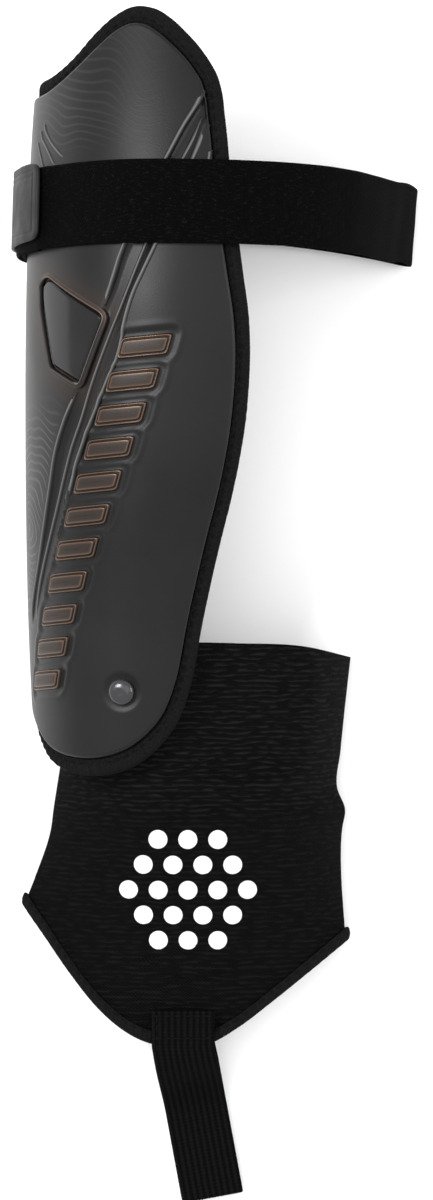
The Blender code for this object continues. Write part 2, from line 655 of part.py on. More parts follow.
for old in list(bpy.data.objects):
    bpy.data.objects.remove(old, do_unlink=True)
tape_line = guard_loop()
build_shell(tape_line)
build_backing(tape_line)
build_strap()
build_stirrup(build_sock())
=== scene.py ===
"""The looks of a shin guard with an ankle sock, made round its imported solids, in metres.

+Y runs up the shin, +X to the right and +Z up. The guard lies on its left side on the floor, and the
origin is on the floor under the middle of the ankle.
"""

import math

import bpy
import numpy as np
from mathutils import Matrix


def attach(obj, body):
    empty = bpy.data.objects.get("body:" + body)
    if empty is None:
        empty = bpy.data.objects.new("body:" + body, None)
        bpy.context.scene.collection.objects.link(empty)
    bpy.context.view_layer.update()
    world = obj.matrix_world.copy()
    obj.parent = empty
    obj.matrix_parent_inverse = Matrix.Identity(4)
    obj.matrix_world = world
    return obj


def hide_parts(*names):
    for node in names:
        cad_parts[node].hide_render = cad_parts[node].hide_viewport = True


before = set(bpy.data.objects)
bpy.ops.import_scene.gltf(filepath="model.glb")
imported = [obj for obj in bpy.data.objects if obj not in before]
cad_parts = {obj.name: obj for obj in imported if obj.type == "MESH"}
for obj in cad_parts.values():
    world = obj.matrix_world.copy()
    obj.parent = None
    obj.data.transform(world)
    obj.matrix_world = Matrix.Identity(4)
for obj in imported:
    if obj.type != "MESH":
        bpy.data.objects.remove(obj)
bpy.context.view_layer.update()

# The shell: one plate of dark plastic, 2.5 mm thick, curved round the shin and moulded with its
# ridges, bars and window in it. It lies on the padded backing, inside the tape round that.
GUARD_LENGTH = 0.2315
SHELL_RADIUS = 0.053
HALF_TURN = math.radians(64.5)
LAY_TURN = math.radians(45)
ANKLE_TO_GUARD = 0.036
SHELL_WALL = 0.0025
SHELL_ROUND = 0.0009
SHELL_MARGIN = 0.0056
FIT_GAP = 0.0003
HALF_ARC = SHELL_RADIUS * HALF_TURN
SHELL_UNDER = -SHELL_WALL
EDGE_CELLS = (18, 22)
SHELL_PARTS = (10, 18)
END_CROWDING = 0.35
VALLEY_DEPTH = 0.0013
VALLEY_SLOPES = (0.0022, 0.0030)
VALLEY_STARTS = (0.085, 0.125)
WINDOW_DEPTH = 0.0016
WINDOW_MARGIN = 0.001
POCKET_STEP = (-0.0007, 0.0006)
MOAT_DEPTH = 0.0004
MOAT_AT = 0.0009
MOAT_WIDTH = 0.0009
MOAT_LIP_AT = 0.0031
MOAT_LIP_WIDTH = 0.0008
RIVET_AT = np.array([0.347, 0.1114])
RIVET_SEAT = 0.0052
SEAT_STEP = (-0.0008, 0.0012)
HILL_AT = (-0.050, 0.112, 0.030)
RING_PITCH = 0.0026
RING_SWAY = 9

# Columns: share of the guard's length from its lower end; then shares of the shell's radius:
# the section's radius, its reach to the left of the ankle, and its middle's height above the floor.
SECTIONS = np.array([
    (0.00, 0.717, 0.906, 0.210),
    (0.20, 0.792, 0.943, 0.262),
    (0.45, 0.943, 0.955, 0.355),
    (0.65, 1.000, 0.947, 0.392),
    (0.85, 0.962, 0.917, 0.374),
    (1.00, 0.906, 0.868, 0.336),
])
# Columns: share of the half arc from the front line, share of the guard's length. Left to right.
TOP_EDGE = np.array([
    (-0.688, 0.921), (-0.503, 0.925), (-0.336, 0.923), (-0.168, 0.933), (0.000, 0.956),
    (0.134, 0.981), (0.252, 0.996), (0.351, 1.000), (0.453, 0.991), (0.589, 0.965), (0.696, 0.937),
])
# Columns: share of the guard's length, share of the half arc. From the upper corners down.
SIDE_EDGE = np.array([
    (0.902, 0.787), (0.841, 0.839), (0.759, 0.880), (0.664, 0.940), (0.578, 0.995),
    (0.478, 0.995), (0.386, 0.946), (0.293, 0.864), (0.205, 0.789), (0.104, 0.696),
])
# Columns: share of the half arc from the front line, share of the guard's length. Right to left.
LOWER_EDGE = np.array([
    (0.640, 0.072), (0.554, 0.044), (0.403, 0.015), (0.228, 0.001), (0.034, 0.000),
    (-0.173, 0.012), (-0.362, 0.039), (-0.570, 0.074),
])
# Columns: as for the upper edge. The three long lines from the upper right down to the lower left.
LEFT_LINE = np.array([
    (0.704, 0.884), (0.679, 0.867), (0.615, 0.837), (0.549, 0.803), (0.420, 0.739), (0.304, 0.674),
    (0.251, 0.634), (0.209, 0.611), (0.125, 0.556), (0.046, 0.501), (-0.023, 0.466), (-0.086, 0.430),
    (-0.138, 0.374), (-0.185, 0.323), (-0.235, 0.276), (-0.303, 0.231), (-0.355, 0.185),
])
MIDDLE_LINE = np.array([
    (0.718, 0.850), (0.676, 0.824), (0.625, 0.799), (0.500, 0.725), (0.392, 0.660),
    (0.323, 0.617), (0.243, 0.571), (0.137, 0.507), (0.077, 0.465), (0.013, 0.429), (-0.042, 0.389),
    (-0.108, 0.336), (-0.159, 0.297), (-0.245, 0.231), (-0.310, 0.180),
])
RIGHT_LINE = np.array([
    (0.734, 0.840), (0.720, 0.830), (0.674, 0.798), (0.575, 0.738), (0.489, 0.684),
    (0.432, 0.653), (0.377, 0.622), (0.345, 0.596), (0.303, 0.545), (0.241, 0.511), (0.180, 0.475),
    (0.115, 0.437), (0.060, 0.401), (0.005, 0.362),
])
# Columns: as for the upper edge. The window's corners, from the upper left one clockwise.
WINDOW_SIDES = (
    np.array([(-0.290, 0.645), (-0.215, 0.655), (0.218, 0.597)]),
    np.array([(0.218, 0.597), (0.069, 0.510)]),
    np.array([(0.069, 0.510), (-0.158, 0.536)]),
    np.array([(-0.158, 0.536), (-0.282, 0.620), (-0.290, 0.645)]),
)
# Columns: as for the upper edge. The middles of the first bar and the last one.
BAR_ROW = np.array([(0.445, 0.556), (-0.165, 0.125)])
BAR_HALF = np.array([0.0078, 0.003])
BAR_COUNT = 11
BAR_SLANT = math.radians(24)
BAR_CORNER = 0.0010
BAR_SHEAR = 0.35


def smooth(at, knots, values):
    """Smooth curve through the values at the knots, read at each place in at."""
    at = np.asarray(at, float)
    slope = np.gradient(values, knots)
    i = np.clip(np.searchsorted(knots, at) - 1, 0, len(knots) - 2)
    step = knots[i + 1] - knots[i]
    t = np.clip((at - knots[i]) / step, 0, 1)
    rise = t * t * (3 - 2 * t)
    start = values[i] + step * slope[i] * t * (1 - t) ** 2
    end = step * slope[i + 1] * t * t * (t - 1)
    return start + (values[i + 1] - values[i]) * rise + end


def ramp(at, low, high):
    """0 below low, 1 above high and a soft step between them."""
    t = np.clip((at - low) / (high - low), 0, 1)
    return t * t * (3 - 2 * t)


def hump(at, middle, width):
    """Bell curve: 1 at its middle, about a third one width away."""
    return np.exp(-(((at - middle) / width) ** 2))


def section(y):
    """Middle, middle's height and radius of the shell's section at a place along the shin."""
    share = (y - ANKLE_TO_GUARD) / GUARD_LENGTH
    radius, left, height = (
        SHELL_RADIUS * smooth(share, SECTIONS[:, 0], SECTIONS[:, k]) for k in (1, 2, 3)
    )
    return radius - left, height, radius


def on_guard(at, out):
    """Points for places (arc from the front line, place along the shin), out from the shell's face.

    Each section of the shell is a circle, so a point is its middle plus the radius and the reach
    out, turned by the arc over the radius.
    """
    centre, height, radius = section(at[..., 1])
    turn = at[..., 0] / radius - LAY_TURN
    reach = radius + out
    return np.stack(
        [centre + reach * np.sin(turn), at[..., 1], height + reach * np.cos(turn)], axis=-1
    )


def guard_places(shares):
    """Places on the guard for shares of its half arc and of its length."""
    return shares * (HALF_ARC, GUARD_LENGTH) + (0, ANKLE_TO_GUARD)


def crowded(count):
    """Shares from 0 to 1, closer together near both ends."""
    t = np.linspace(0, 1, count + 1)
    return t - END_CROWDING * np.sin(2 * np.pi * t) / (2 * np.pi)


def guard_loop():
    """Outer line of the tape, from its upper left corner clockwise, as places on the guard."""
    down = SIDE_EDGE[:, ::-1]
    up = (down * (-1, 1))[::-1]
    knots = guard_places(np.vstack([up[-1:], TOP_EDGE, down, LOWER_EDGE, up[:-1]]))
    around = np.vstack([knots[-2:], knots, knots[:3]])
    path = np.r_[0, np.cumsum(np.linalg.norm(np.diff(around, axis=0), axis=1))]
    corners = np.cumsum([2, len(TOP_EDGE) + 1, len(down) - 1, len(LOWER_EDGE) + 1, len(up) - 1])
    at = [
        path[a] + (path[b] - path[a]) * crowded(n)[:-1]
        for a, b, n in zip(corners, corners[1:], EDGE_CELLS * 2)
    ]
    at = np.concatenate(at)
    return np.stack([smooth(at, path, around[:, k]) for k in (0, 1)], axis=-1)


def inset(loop, by):
    """The closed clockwise line again, moved inwards by a distance."""
    along = np.roll(loop, -1, axis=0) - np.roll(loop, 1, axis=0)
    inward = np.stack([along[:, 1], -along[:, 0]], axis=-1)
    return loop + by * inward / np.linalg.norm(inward, axis=1, keepdims=True)


def finer(loop, parts):
    """Smooth closed line through the guard loop's points, each step cut into that side's parts."""
    counts = np.repeat(parts * 2, EDGE_CELLS * 2)
    within = np.arange(counts.sum()) - np.repeat(np.cumsum(counts) - counts, counts)
    at = np.repeat(np.arange(len(counts)), counts) + within / np.repeat(counts, counts)
    around = np.vstack([loop[-2:], loop, loop[:3]])
    knots = np.arange(len(around)) - 2.0
    return np.stack([smooth(at, knots, around[:, k]) for k in (0, 1)], axis=-1)


def net(loop, across, along):
    """Grid of places that fills a closed line of four sides.

    Each place is the mix of its opposite sides' points both ways, less the mix of the corners.
    """
    u = np.linspace(0, 1, across + 1)[:, None, None]
    v = np.linspace(0, 1, along + 1)[None, :, None]
    top = loop[: across + 1][:, None]
    right = loop[across : across + along + 1][None]
    bottom = loop[across + along : 2 * across + along + 1][::-1][:, None]
    left = np.concatenate([loop[:1], loop[::-1][:along]])[None]
    corners = (
        (1 - u) * (1 - v) * top[0, 0]
        + u * (1 - v) * top[-1, 0]
        + u * v * bottom[-1, 0]
        + (1 - u) * v * bottom[0, 0]
    )
    return (1 - v) * top + v * bottom + (1 - u) * left + u * right - corners


def bands(rows, closed):
    """Four-sided faces between following rows of point numbers."""
    here, there = rows[:-1], rows[1:]
    if closed:
        turned = [np.roll(r, -1, axis=1) for r in (here, there)]
    else:
        here, there, turned = here[:, :-1], there[:, :-1], [here[:, 1:], there[:, 1:]]
    return np.stack([here, turned[0], turned[1], there], axis=-1).reshape(-1, 4).tolist()


def edge_numbers(across, along):
    """Numbers of a grid's edge points, clockwise from its upper left corner."""
    i = np.r_[np.arange(across), [across] * along, np.arange(across, 0, -1), [0] * along]
    j = np.r_[[0] * across, np.arange(along), [along] * across, np.arange(along, 0, -1)]
    return i * (along + 1) + j


def plate(fine, rings, plain):
    """Points and faces of a closed plate: its fine face, rings round its rim, and its plain face.

    The plain face may be cut more coarsely: each step of its edge then takes several of the rim's.
    """
    points = np.concatenate([fine.reshape(-1, 3), *rings, plain.reshape(-1, 3)])
    cells, plain_cells = [(s[0] - 1, s[1] - 1) for s in (fine.shape, plain.shape)]
    upper = np.arange(fine.size // 3).reshape(fine.shape[:2])
    rows = [edge_numbers(*cells)]
    for ring in rings:
        start = upper.size + (len(rows) - 1) * len(ring)
        rows.append(start + np.arange(len(ring)))
    first = len(points) - plain.size // 3
    lower = first + np.arange(plain.size // 3).reshape(plain.shape[:2])
    faces = bands(np.array(rows), True) + bands(upper, False) + bands(lower[::-1], False)
    parts = [cells[0] // plain_cells[0], cells[1] // plain_cells[1]] * 2
    ends = np.r_[0, np.cumsum(np.repeat(parts, plain_cells * 2))]
    rim, hem = rows[-1], first + edge_numbers(*plain_cells)
    for k, (a, b) in enumerate(zip(ends, ends[1:])):
        step = [*rim[a:b], rim[b % len(rim)], hem[(k + 1) % len(hem)], hem[k]]
        faces.append([int(number) for number in step])
    return points, faces


def swept(rows, closed_rows=False):
    """Points and faces through rows of points: each row is a closed profile, open rows get flat ends."""
    numbers = np.arange(rows.shape[0] * rows.shape[1]).reshape(rows.shape[:2])
    if closed_rows:
        faces = bands(np.vstack([numbers, numbers[:1]]), True)
    else:
        faces = bands(numbers, True)
        faces += [numbers[0][::-1].tolist(), numbers[-1].tolist()]
    return rows.reshape(-1, 3), faces


def together(shapes):
    """Points and faces of several shapes as one."""
    points, faces, count = [], [], 0
    for some, sides in shapes:
        points.append(some)
        faces += [[count + number for number in side] for side in sides]
        count += len(some)
    return np.concatenate(points), faces


def make_piece(name, shape, material, slot, way_over=None, crease=None, **marks):
    """Piece with these points and faces, turned so that its faces look outwards, riding on the part.

    way_over holds (across, along) in metres for each point, for weaves. Marks hold one number a point.
    """
    points, faces = shape
    mesh = bpy.data.meshes.new(name)
    mesh.from_pydata(points.tolist(), [], faces)
    mesh.calc_loop_triangles()
    numbers = np.empty(3 * len(mesh.loop_triangles), np.int32)
    mesh.loop_triangles.foreach_get("vertices", numbers)
    if np.linalg.det(points[numbers.reshape(-1, 3)]).sum() < 0:
        mesh.flip_normals()
    mesh.polygons.foreach_set("use_smooth", [True] * len(mesh.polygons))
    if crease:
        mesh.set_sharp_from_angle(angle=math.radians(crease))
    if way_over is not None:
        corners = np.empty(len(mesh.loops), np.int32)
        mesh.loops.foreach_get("vertex_index", corners)
        weave_map = mesh.uv_layers.new(name="weave")
        weave_map.data.foreach_set("uv", way_over[corners].astype(np.float32).ravel())
    for mark, values in marks.items():
        held = mesh.attributes.new(mark, "FLOAT", "POINT")
        held.data.foreach_set("value", np.asarray(values, np.float32).ravel())
    mesh.materials.append(material)
    piece = bpy.data.objects.new(name, mesh)
    bpy.context.scene.collection.objects.link(piece)
    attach(piece, "root")
    return piece


def new_finish(name, colour, roughness, specular=0.5, metallic=0.0, coat=0.0):
    """New material with its constant values set on its shader. Returns its nodes and the shader."""
    material = bpy.data.materials.new(name)
    material.use_nodes = True
    tree = material.node_tree
    shader = tree.nodes["Principled BSDF"]
    values = {
        "Base Color": (*colour, 1),
        "Roughness": roughness,
        "Specular IOR Level": specular,
        "Metallic": metallic,
        "Coat Weight": coat,
    }
    for socket, value in values.items():
        shader.inputs[socket].default_value = value
    return material, tree, shader


def put(tree, kind, inputs=(), out=0, **settings):
    """Adds a node with these inputs (values, or other nodes' outputs) and returns its output."""
    step = tree.nodes.new("ShaderNode" + kind)
    for name, value in settings.items():
        setattr(step, name, value)
    for name, value in dict(inputs).items():
        if isinstance(value, bpy.types.NodeSocket):
            tree.links.new(value, step.inputs[name])
        else:
            step.inputs[name].default_value = value
    return step.outputs[out]


def maths(tree, operation, *values):
    """Adds a sum of that kind with one to three values."""
    return put(tree, "Math", dict(enumerate(values)), operation=operation)


def mark(tree, name):
    """Reads one of the piece's marks."""
    return put(tree, "Attribute", out="Fac", attribute_name=name)


def soft_step(tree, value, low, high, start=0.0, end=1.0):
    """start below low, end above high and a soft step between them."""
    limits = {"Value": value, "From Min": low, "From Max": high, "To Min": start, "To Max": end}
    return put(tree, "MapRange", limits, interpolation_type="SMOOTHSTEP")


def grain(tree, place, scale, detail=2.0, roughness=0.5, distortion=0.0):
    """Noise from 0 to 1, with that many lumps a metre."""
    inputs = {
        "Vector": place, "Scale": scale, "Detail": detail, "Roughness": roughness,
        "Distortion": distortion,
    }
    return put(tree, "TexNoise", inputs)


def mixed(tree, share, one, other):
    """Colour between one and the other, by share."""
    colours = [(*c, 1) if isinstance(c, tuple) else c for c in (one, other)]
    return put(tree, "Mix", {0: share, 6: colours[0], 7: colours[1]}, out=2, data_type="RGBA")


def bumped(tree, height, depth, under=None):
    """Surface direction for a height from 0 to 1 that stands for a depth in metres."""
    inputs = {"Height": height, "Strength": 1.0, "Distance": depth}
    if under is not None:
        inputs["Normal"] = under
    return put(tree, "Bump", inputs)


def stretched(tree, place, scale):
    """The place with each of its directions scaled."""
    return put(tree, "Mapping", {"Vector": place, "Scale": scale})


def way_to_line(places, line):
    """Distance of each place from a line of straight runs, plus on its right as seen, minus on its left.

    To each run it is the distance to the nearest place on it, and the nearest run counts.
    """
    nearest = np.full(places.shape[:-1], np.inf)
    side = np.ones(places.shape[:-1])
    for start, end in zip(line, line[1:]):
        run, off = end - start, places - start
        t = np.clip(off @ run / (run @ run), 0, 1)
        gap = np.linalg.norm(off - t[..., None] * run, axis=-1)
        turn = run[0] * off[..., 1] - run[1] * off[..., 0]
        nearer = gap < nearest
        nearest = np.where(nearer, gap, nearest)
        side = np.where(nearer, np.where(turn > 0, 1, -1), side)
    return nearest * side


def way_to_window(places):
    """Distance from the window's outline, plus outside and minus inside it.

    A place is inside where a line drawn from it to the right crosses the outline an odd number of times.
    """
    corners = guard_places(np.vstack([side[:-1] for side in WINDOW_SIDES]))
    outline = np.vstack([corners, corners[:1]])
    inside = np.zeros(places.shape[:-1], bool)
    for start, end in zip(outline, outline[1:]):
        passes = (start[1] > places[..., 1]) != (end[1] > places[..., 1])
        share = (places[..., 1] - start[1]) / (end[1] - start[1])
        inside ^= passes & (places[..., 0] < start[0] + share * (end[0] - start[0]))
    return np.abs(way_to_line(places, outline)) * np.where(inside, -1, 1)


def bar_frame():
    """Middles of the bars, with their long and short directions, on the guard."""
    first, last = guard_places(BAR_ROW)
    row = (last - first) / np.linalg.norm(last - first)
    across = math.cos(BAR_SLANT) * np.array([-row[1], row[0]]) - math.sin(BAR_SLANT) * row
    middles = first + (last - first) * np.linspace(0, 1, BAR_COUNT)[:, None]
    return middles, across, np.array([-across[1], across[0]])


def way_to_bars(places):
    """Distance outwards from the nearest bar's edge, minus inside it, for bars with round corners."""
    nearest = np.full(places.shape[:-1], np.inf)
    middles, across, along = bar_frame()
    for middle in middles:
        off = places - middle
        off = np.stack([off @ across - BAR_SHEAR * (off @ along), off @ along], axis=-1)
        beyond = np.abs(off) - (BAR_HALF - BAR_CORNER)
        outer = np.linalg.norm(beyond.clip(0), axis=-1) + beyond.max(axis=-1).clip(None, 0)
        nearest = np.minimum(nearest, outer - BAR_CORNER)
    return nearest


def shell_relief(places):
    """Height of the shell's moulded face out of its plain curve.

    A shallow valley between the left and right lines, a pocket under the window, a moat round the
    bars with a low lip outside it, and a seat for the rivet.
    """
    fade = ramp(places[..., 1], *VALLEY_STARTS)
    left = way_to_line(places, guard_places(LEFT_LINE))
    right = -way_to_line(places, guard_places(RIGHT_LINE))
    window = way_to_window(places)
    bars = way_to_bars(places)
    seat = np.linalg.norm(places - guard_places(RIVET_AT), axis=-1)
    beside = ramp(window, WINDOW_MARGIN, 2 * WINDOW_MARGIN)
    height = -VALLEY_DEPTH * ramp(left, 0, VALLEY_SLOPES[0]) * ramp(right, 0, VALLEY_SLOPES[1]) * fade
    height = height * ramp(window, 0, WINDOW_MARGIN)
    height -= WINDOW_DEPTH * ramp(-window, *POCKET_STEP)
    height -= MOAT_DEPTH * hump(bars, MOAT_AT, MOAT_WIDTH) * beside
    height += MOAT_DEPTH / 2 * hump(bars, MOAT_LIP_AT, MOAT_LIP_WIDTH) * beside
    low, high = SEAT_STEP
    return height - MOAT_DEPTH * (1 - ramp(seat, RIVET_SEAT + low, RIVET_SEAT + high))


tape_line = guard_loop()
shell_cells = (EDGE_CELLS[0] * SHELL_PARTS[0], EDGE_CELLS[1] * SHELL_PARTS[1])
shell_edge = finer(inset(tape_line, SHELL_MARGIN), SHELL_PARTS)
shell_face = finer(inset(tape_line, SHELL_MARGIN + SHELL_ROUND), SHELL_PARTS)
shell_places = net(shell_face, *shell_cells)
rim = [
    on_guard(shell_face + (shell_edge - shell_face) * math.sin(a), SHELL_ROUND * (math.cos(a) - 1))
    for a in np.radians([30, 60, 90])
]
rim.append(on_guard(shell_edge, SHELL_UNDER))
under = on_guard(net(inset(tape_line, SHELL_MARGIN + SHELL_ROUND), *EDGE_CELLS), SHELL_UNDER)
shell_shape = plate(on_guard(shell_places, shell_relief(shell_places)), rim, under)

# Where the fine lines and the warm tint show: one number for each of the shell's points. The lines
# fill the lower left of the shell and a patch in the top panel, the tint lies round the window.
CONTOUR_CLEAR = (0.001, 0.004)
CONTOUR_FROM, CONTOUR_TO = (0.050, 0.075), (0.135, 0.155)
CONTOUR_TOP_FROM = (0.222, 0.230)
CONTOUR_TOP_AT, CONTOUR_TOP_HALF = -0.004, 0.020
CONTOUR_TOP_SHARE = 0.4
WARM_WIDTH = 0.006
WARM_LEFT = (0.014, 0.030)
WARM_LEFT_SHARE = 0.5
WARM_AT, WARM_HALF = 0.165, 0.045
rest = np.zeros(len(shell_shape[0]) - shell_places.size // 2)
s, y = shell_places[..., 0], shell_places[..., 1]
right_of_left = way_to_line(shell_places, guard_places(LEFT_LINE))
contour = ramp(-right_of_left, *CONTOUR_CLEAR) * ramp(y, *CONTOUR_FROM) * (1 - ramp(y, *CONTOUR_TO))
patch = hump(s, CONTOUR_TOP_AT, CONTOUR_TOP_HALF) * ramp(y, *CONTOUR_TOP_FROM)
contour = contour + CONTOUR_TOP_SHARE * patch
warm = hump(way_to_window(shell_places), 0.0, WARM_WIDTH) + WARM_LEFT_SHARE * ramp(-s, *WARM_LEFT)
warm = warm * hump(y, WARM_AT, WARM_HALF)

shell_plastic, tree, shader = new_finish("shell_plastic", (0.008, 0.008, 0.0085), 0.4, 0.22)
place = put(tree, "TexCoord", out="Object")
mottle = grain(tree, place, 45, 3)
pebble = grain(tree, place, 2600, 2)
bends = grain(tree, place, 30, 1.5, 0.45, 0.4)
from_hill = put(tree, "VectorMath", {0: place, 1: HILL_AT}, out="Value", operation="DISTANCE")
rings = maths(tree, "MULTIPLY_ADD", bends, RING_SWAY, maths(tree, "DIVIDE", from_hill, RING_PITCH))
phase = maths(tree, "FRACT", rings)
arc = soft_step(tree, maths(tree, "ABSOLUTE", maths(tree, "SUBTRACT", phase, 0.5)), 0.05, 0.2, 1, 0)
arc = maths(tree, "MULTIPLY", arc, mark(tree, "contour"))
body = mixed(tree, mottle, (0.002, 0.002, 0.0022), (0.0055, 0.0055, 0.0059))
body = mixed(tree, maths(tree, "MULTIPLY", mark(tree, "warm"), 0.5), body, (0.024, 0.015, 0.010))
body = mixed(tree, maths(tree, "MULTIPLY", arc, 0.5), body, (0.055, 0.055, 0.057))
# Painted highlight: a lighter grey where the mark is set, on the long lines' crests and on the window
# lip's inner edge along its right side.
body = mixed(tree, mark(tree, "worn"), body, (0.12, 0.118, 0.115))
tree.links.new(mixed(tree, mark(tree, "copper"), body, (0.17, 0.105, 0.068)), shader.inputs["Base Color"])
rough = maths(tree, "ADD", maths(tree, "MULTIPLY", mottle, 0.14), 0.33)
rough = maths(tree, "SUBTRACT", rough, maths(tree, "MULTIPLY", mark(tree, "copper"), 0.12))
tree.links.new(rough, shader.inputs["Roughness"])
tree.links.new(maths(tree, "MULTIPLY", mark(tree, "copper"), 0.85), shader.inputs["Metallic"])
fine = bumped(tree, pebble, 0.00003)
tree.links.new(bumped(tree, arc, 0.00008, fine), shader.inputs["Normal"])

shell_skin = make_piece(
    "shell_skin", shell_shape, shell_plastic, "shell", crease=50,
    contour=np.r_[contour.ravel(), rest], warm=np.r_[warm.ravel(), rest],
)
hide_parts("shell")

# The long lines: thin raised edges of the same moulding, which run down the shell and fade out, and
# a few short ones near its upper end. Their crests carry a painted highlight: a lighter grey, strongest
# just left of the top.
LINE_HALF = 0.00105
LINE_HEIGHT = 0.00075
LINE_ROOT = 0.0007
LINE_STEPS = 160
LINE_FADE = 0.12
LINE_PAINTED_HIGHLIGHT = 0.8
# Columns: share of the line's half width, share of its height, how much painted highlight it gets.
LINE_PROFILE = np.array([
    (-1.00, -0.30, 0.0), (-0.60, 0.25, 0.1), (-0.32, 0.80, 0.6), (-0.10, 1.00, 1.0),
    (0.12, 0.98, 1.0), (0.32, 0.65, 0.4), (0.55, 0.10, 0.0), (1.00, -0.45, 0.0),
])
# Each: share of the full width, share of the full height, and the line's places.
SHELL_LINES = (
    (1.00, 1.00, LEFT_LINE[:8]),
    (0.90, 0.90, LEFT_LINE[9:]),
    (0.90, 0.85, MIDDLE_LINE),
    (1.05, 1.15, RIGHT_LINE),
    (0.80, 0.80, np.array([(0.752, 0.806), (0.746, 0.790), (0.730, 0.765), (0.700, 0.740)])),
    (0.70, 0.55, np.array([(-0.300, 0.862), (-0.262, 0.846), (-0.217, 0.834), (-0.080, 0.806)])),
    (0.70, 0.55, np.array([(-0.345, 0.854), (-0.305, 0.838), (-0.240, 0.822), (-0.150, 0.796)])),
    (0.70, 0.45, np.array([(-0.385, 0.840), (-0.345, 0.824), (-0.285, 0.800), (-0.240, 0.780)])),
)


def evenly(line, count):
    """Smooth line of that many even steps through a few places."""
    path = np.r_[0, np.cumsum(np.linalg.norm(np.diff(line, axis=0), axis=1))]
    at = np.linspace(0, path[-1], count)
    return np.stack([smooth(at, path, line[:, k]) for k in range(line.shape[1])], axis=-1)


def moulded_line(width, height, shares):
    """Raised line on the shell: a profile carried along smooth places, which sinks in at both ends."""
    path = evenly(guard_places(shares), LINE_STEPS)
    along = np.gradient(path, axis=0)
    aside = np.stack([-along[:, 1], along[:, 0]], axis=-1)
    aside /= np.linalg.norm(aside, axis=1, keepdims=True)
    t = np.linspace(0, 1, LINE_STEPS)
    swell = ramp(t, 0, LINE_FADE) * ramp(1 - t, 0, LINE_FADE)
    floor = shell_relief(path)
    reach = np.r_[LINE_PROFILE[:, 0], 1, -1] * LINE_HALF * width
    raised = np.r_[LINE_PROFILE[:, 1], -1, -1][None] * LINE_HEIGHT * height
    out = floor[:, None] + raised * swell[:, None] - (1 - swell)[:, None] * LINE_ROOT / 4
    out[:, -2:] -= LINE_ROOT
    places = path[:, None] + reach[None, :, None] * aside[:, None]
    return swept(on_guard(places, out))


lines = together([moulded_line(*line) for line in SHELL_LINES])
# How much painted highlight, a lighter grey in the shell's colour, each point of the lines gets.
painted_crest_highlight = np.tile(np.r_[LINE_PROFILE[:, 2], 0, 0], len(SHELL_LINES) * LINE_STEPS)
make_piece("shell_lines", lines, shell_plastic, "shell", worn=LINE_PAINTED_HIGHLIGHT * painted_crest_highlight)

# The bars: a row of eleven plain slanted bars moulded into the shell, each with a thin rim that is
# printed in copper round a raised, filled middle.
BAR_POINTS = 56
BAR_SQUARENESS = 10
BAR_COPPER = 0.9
# Columns: distance inwards from the bar's edge and height, in millimetres, and how coppery it is.
BAR_STEPS = np.array([
    (-0.35, -0.90, 0.0), (-0.20, -0.20, 0.0), (0.05, 0.30, 0.1), (0.18, 0.58, 0.6),
    (0.30, 0.66, 1.0), (0.42, 0.60, 0.6), (0.56, 0.34, 0.05), (0.80, 0.30, 0.0),
    (0.98, 0.62, 0.0), (1.12, 0.86, 0.5), (1.24, 0.92, 0.8), (1.40, 0.94, 0.35),
    (1.70, 0.96, 0.15), (2.10, 0.97, 0.1), (2.50, 0.98, 0.1), (2.80, 0.98, 0.1),
])


def moulded_bar(middle, across, along):
    """One bar: nested outlines at the heights of the table, closed in the middle.

    Each outline is a squared ellipse, pushed over sideways into a slanted bar.
    """
    turn = np.linspace(0, 2 * np.pi, BAR_POINTS, endpoint=False)
    way = np.stack([np.cos(turn), np.sin(turn)], axis=-1)
    squared = np.sign(way) * np.abs(way) ** (2 / BAR_SQUARENESS)
    half = BAR_HALF[None] - BAR_STEPS[:, :1] / 1000
    places = half[:, None] * squared[None]
    places[..., 0] += BAR_SHEAR * places[..., 1]
    places = middle + places[..., :1] * across + places[..., 1:] * along
    return swept(on_guard(places, np.repeat(BAR_STEPS[:, 1:2] / 1000, BAR_POINTS, axis=1)))


middles, across, along = bar_frame()
bars = together([moulded_bar(middle, across, along) for middle in middles])
copper = np.tile(np.repeat(BAR_STEPS[:, 2], BAR_POINTS), BAR_COUNT)
make_piece("shell_bars", bars, shell_plastic, "shell", copper=BAR_COPPER * copper)

# The window: a raised lip of the shell's moulding round a five-sided pocket, and in the pocket a thin
# plate of clear-coated black plastic with a bevelled edge, which is glued in. The lip's copper tint
# is strongest along the window's upper side, and its inner edge on the right carries a painted highlight.
WINDOW_CELLS = 30
LIP_SOFTNESS = 5
COPPER_SIDE = 0.0035
# How coppery the lip is all round, and how much more along its upper side.
COPPER_ROUND, COPPER_ABOVE = 0.15, 0.45
# The painted highlight on the lip's inner edge along the window's right side: its reach from that side,
# its width in millimetres, and its strength.
PAINTED_HIGHLIGHT_SIDE = 0.0012
PAINTED_HIGHLIGHT_WIDTH = 0.3
PAINTED_HIGHLIGHT_STRENGTH = 4
# Columns: distance outwards from the window's edge and height, in millimetres, and how coppery it is.
LIP_STEPS = np.array([
    (1.90, -0.30, 0.0), (1.60, 0.00, 0.05), (1.35, 0.14, 0.45), (1.15, 0.12, 0.20),
    (0.85, 0.08, 0.10), (0.62, 0.30, 0.35), (0.42, 0.44, 1.0), (0.22, 0.34, 0.7),
    (0.05, 0.05, 0.1), (0.00, -0.60, 0.0), (-0.05, -1.40, 0.0), (0.80, -1.60, 0.0), (1.60, -1.20, 0.0),
])
# Columns: distance inwards from the window's edge, height, both in millimetres.
GLASS_STEPS = np.array([
    (0.36, -1.50), (0.30, -1.25), (0.42, -1.12), (0.75, -0.82), (1.10, -0.52), (1.30, -0.40),
])
GLASS_CROWN = 0.00018


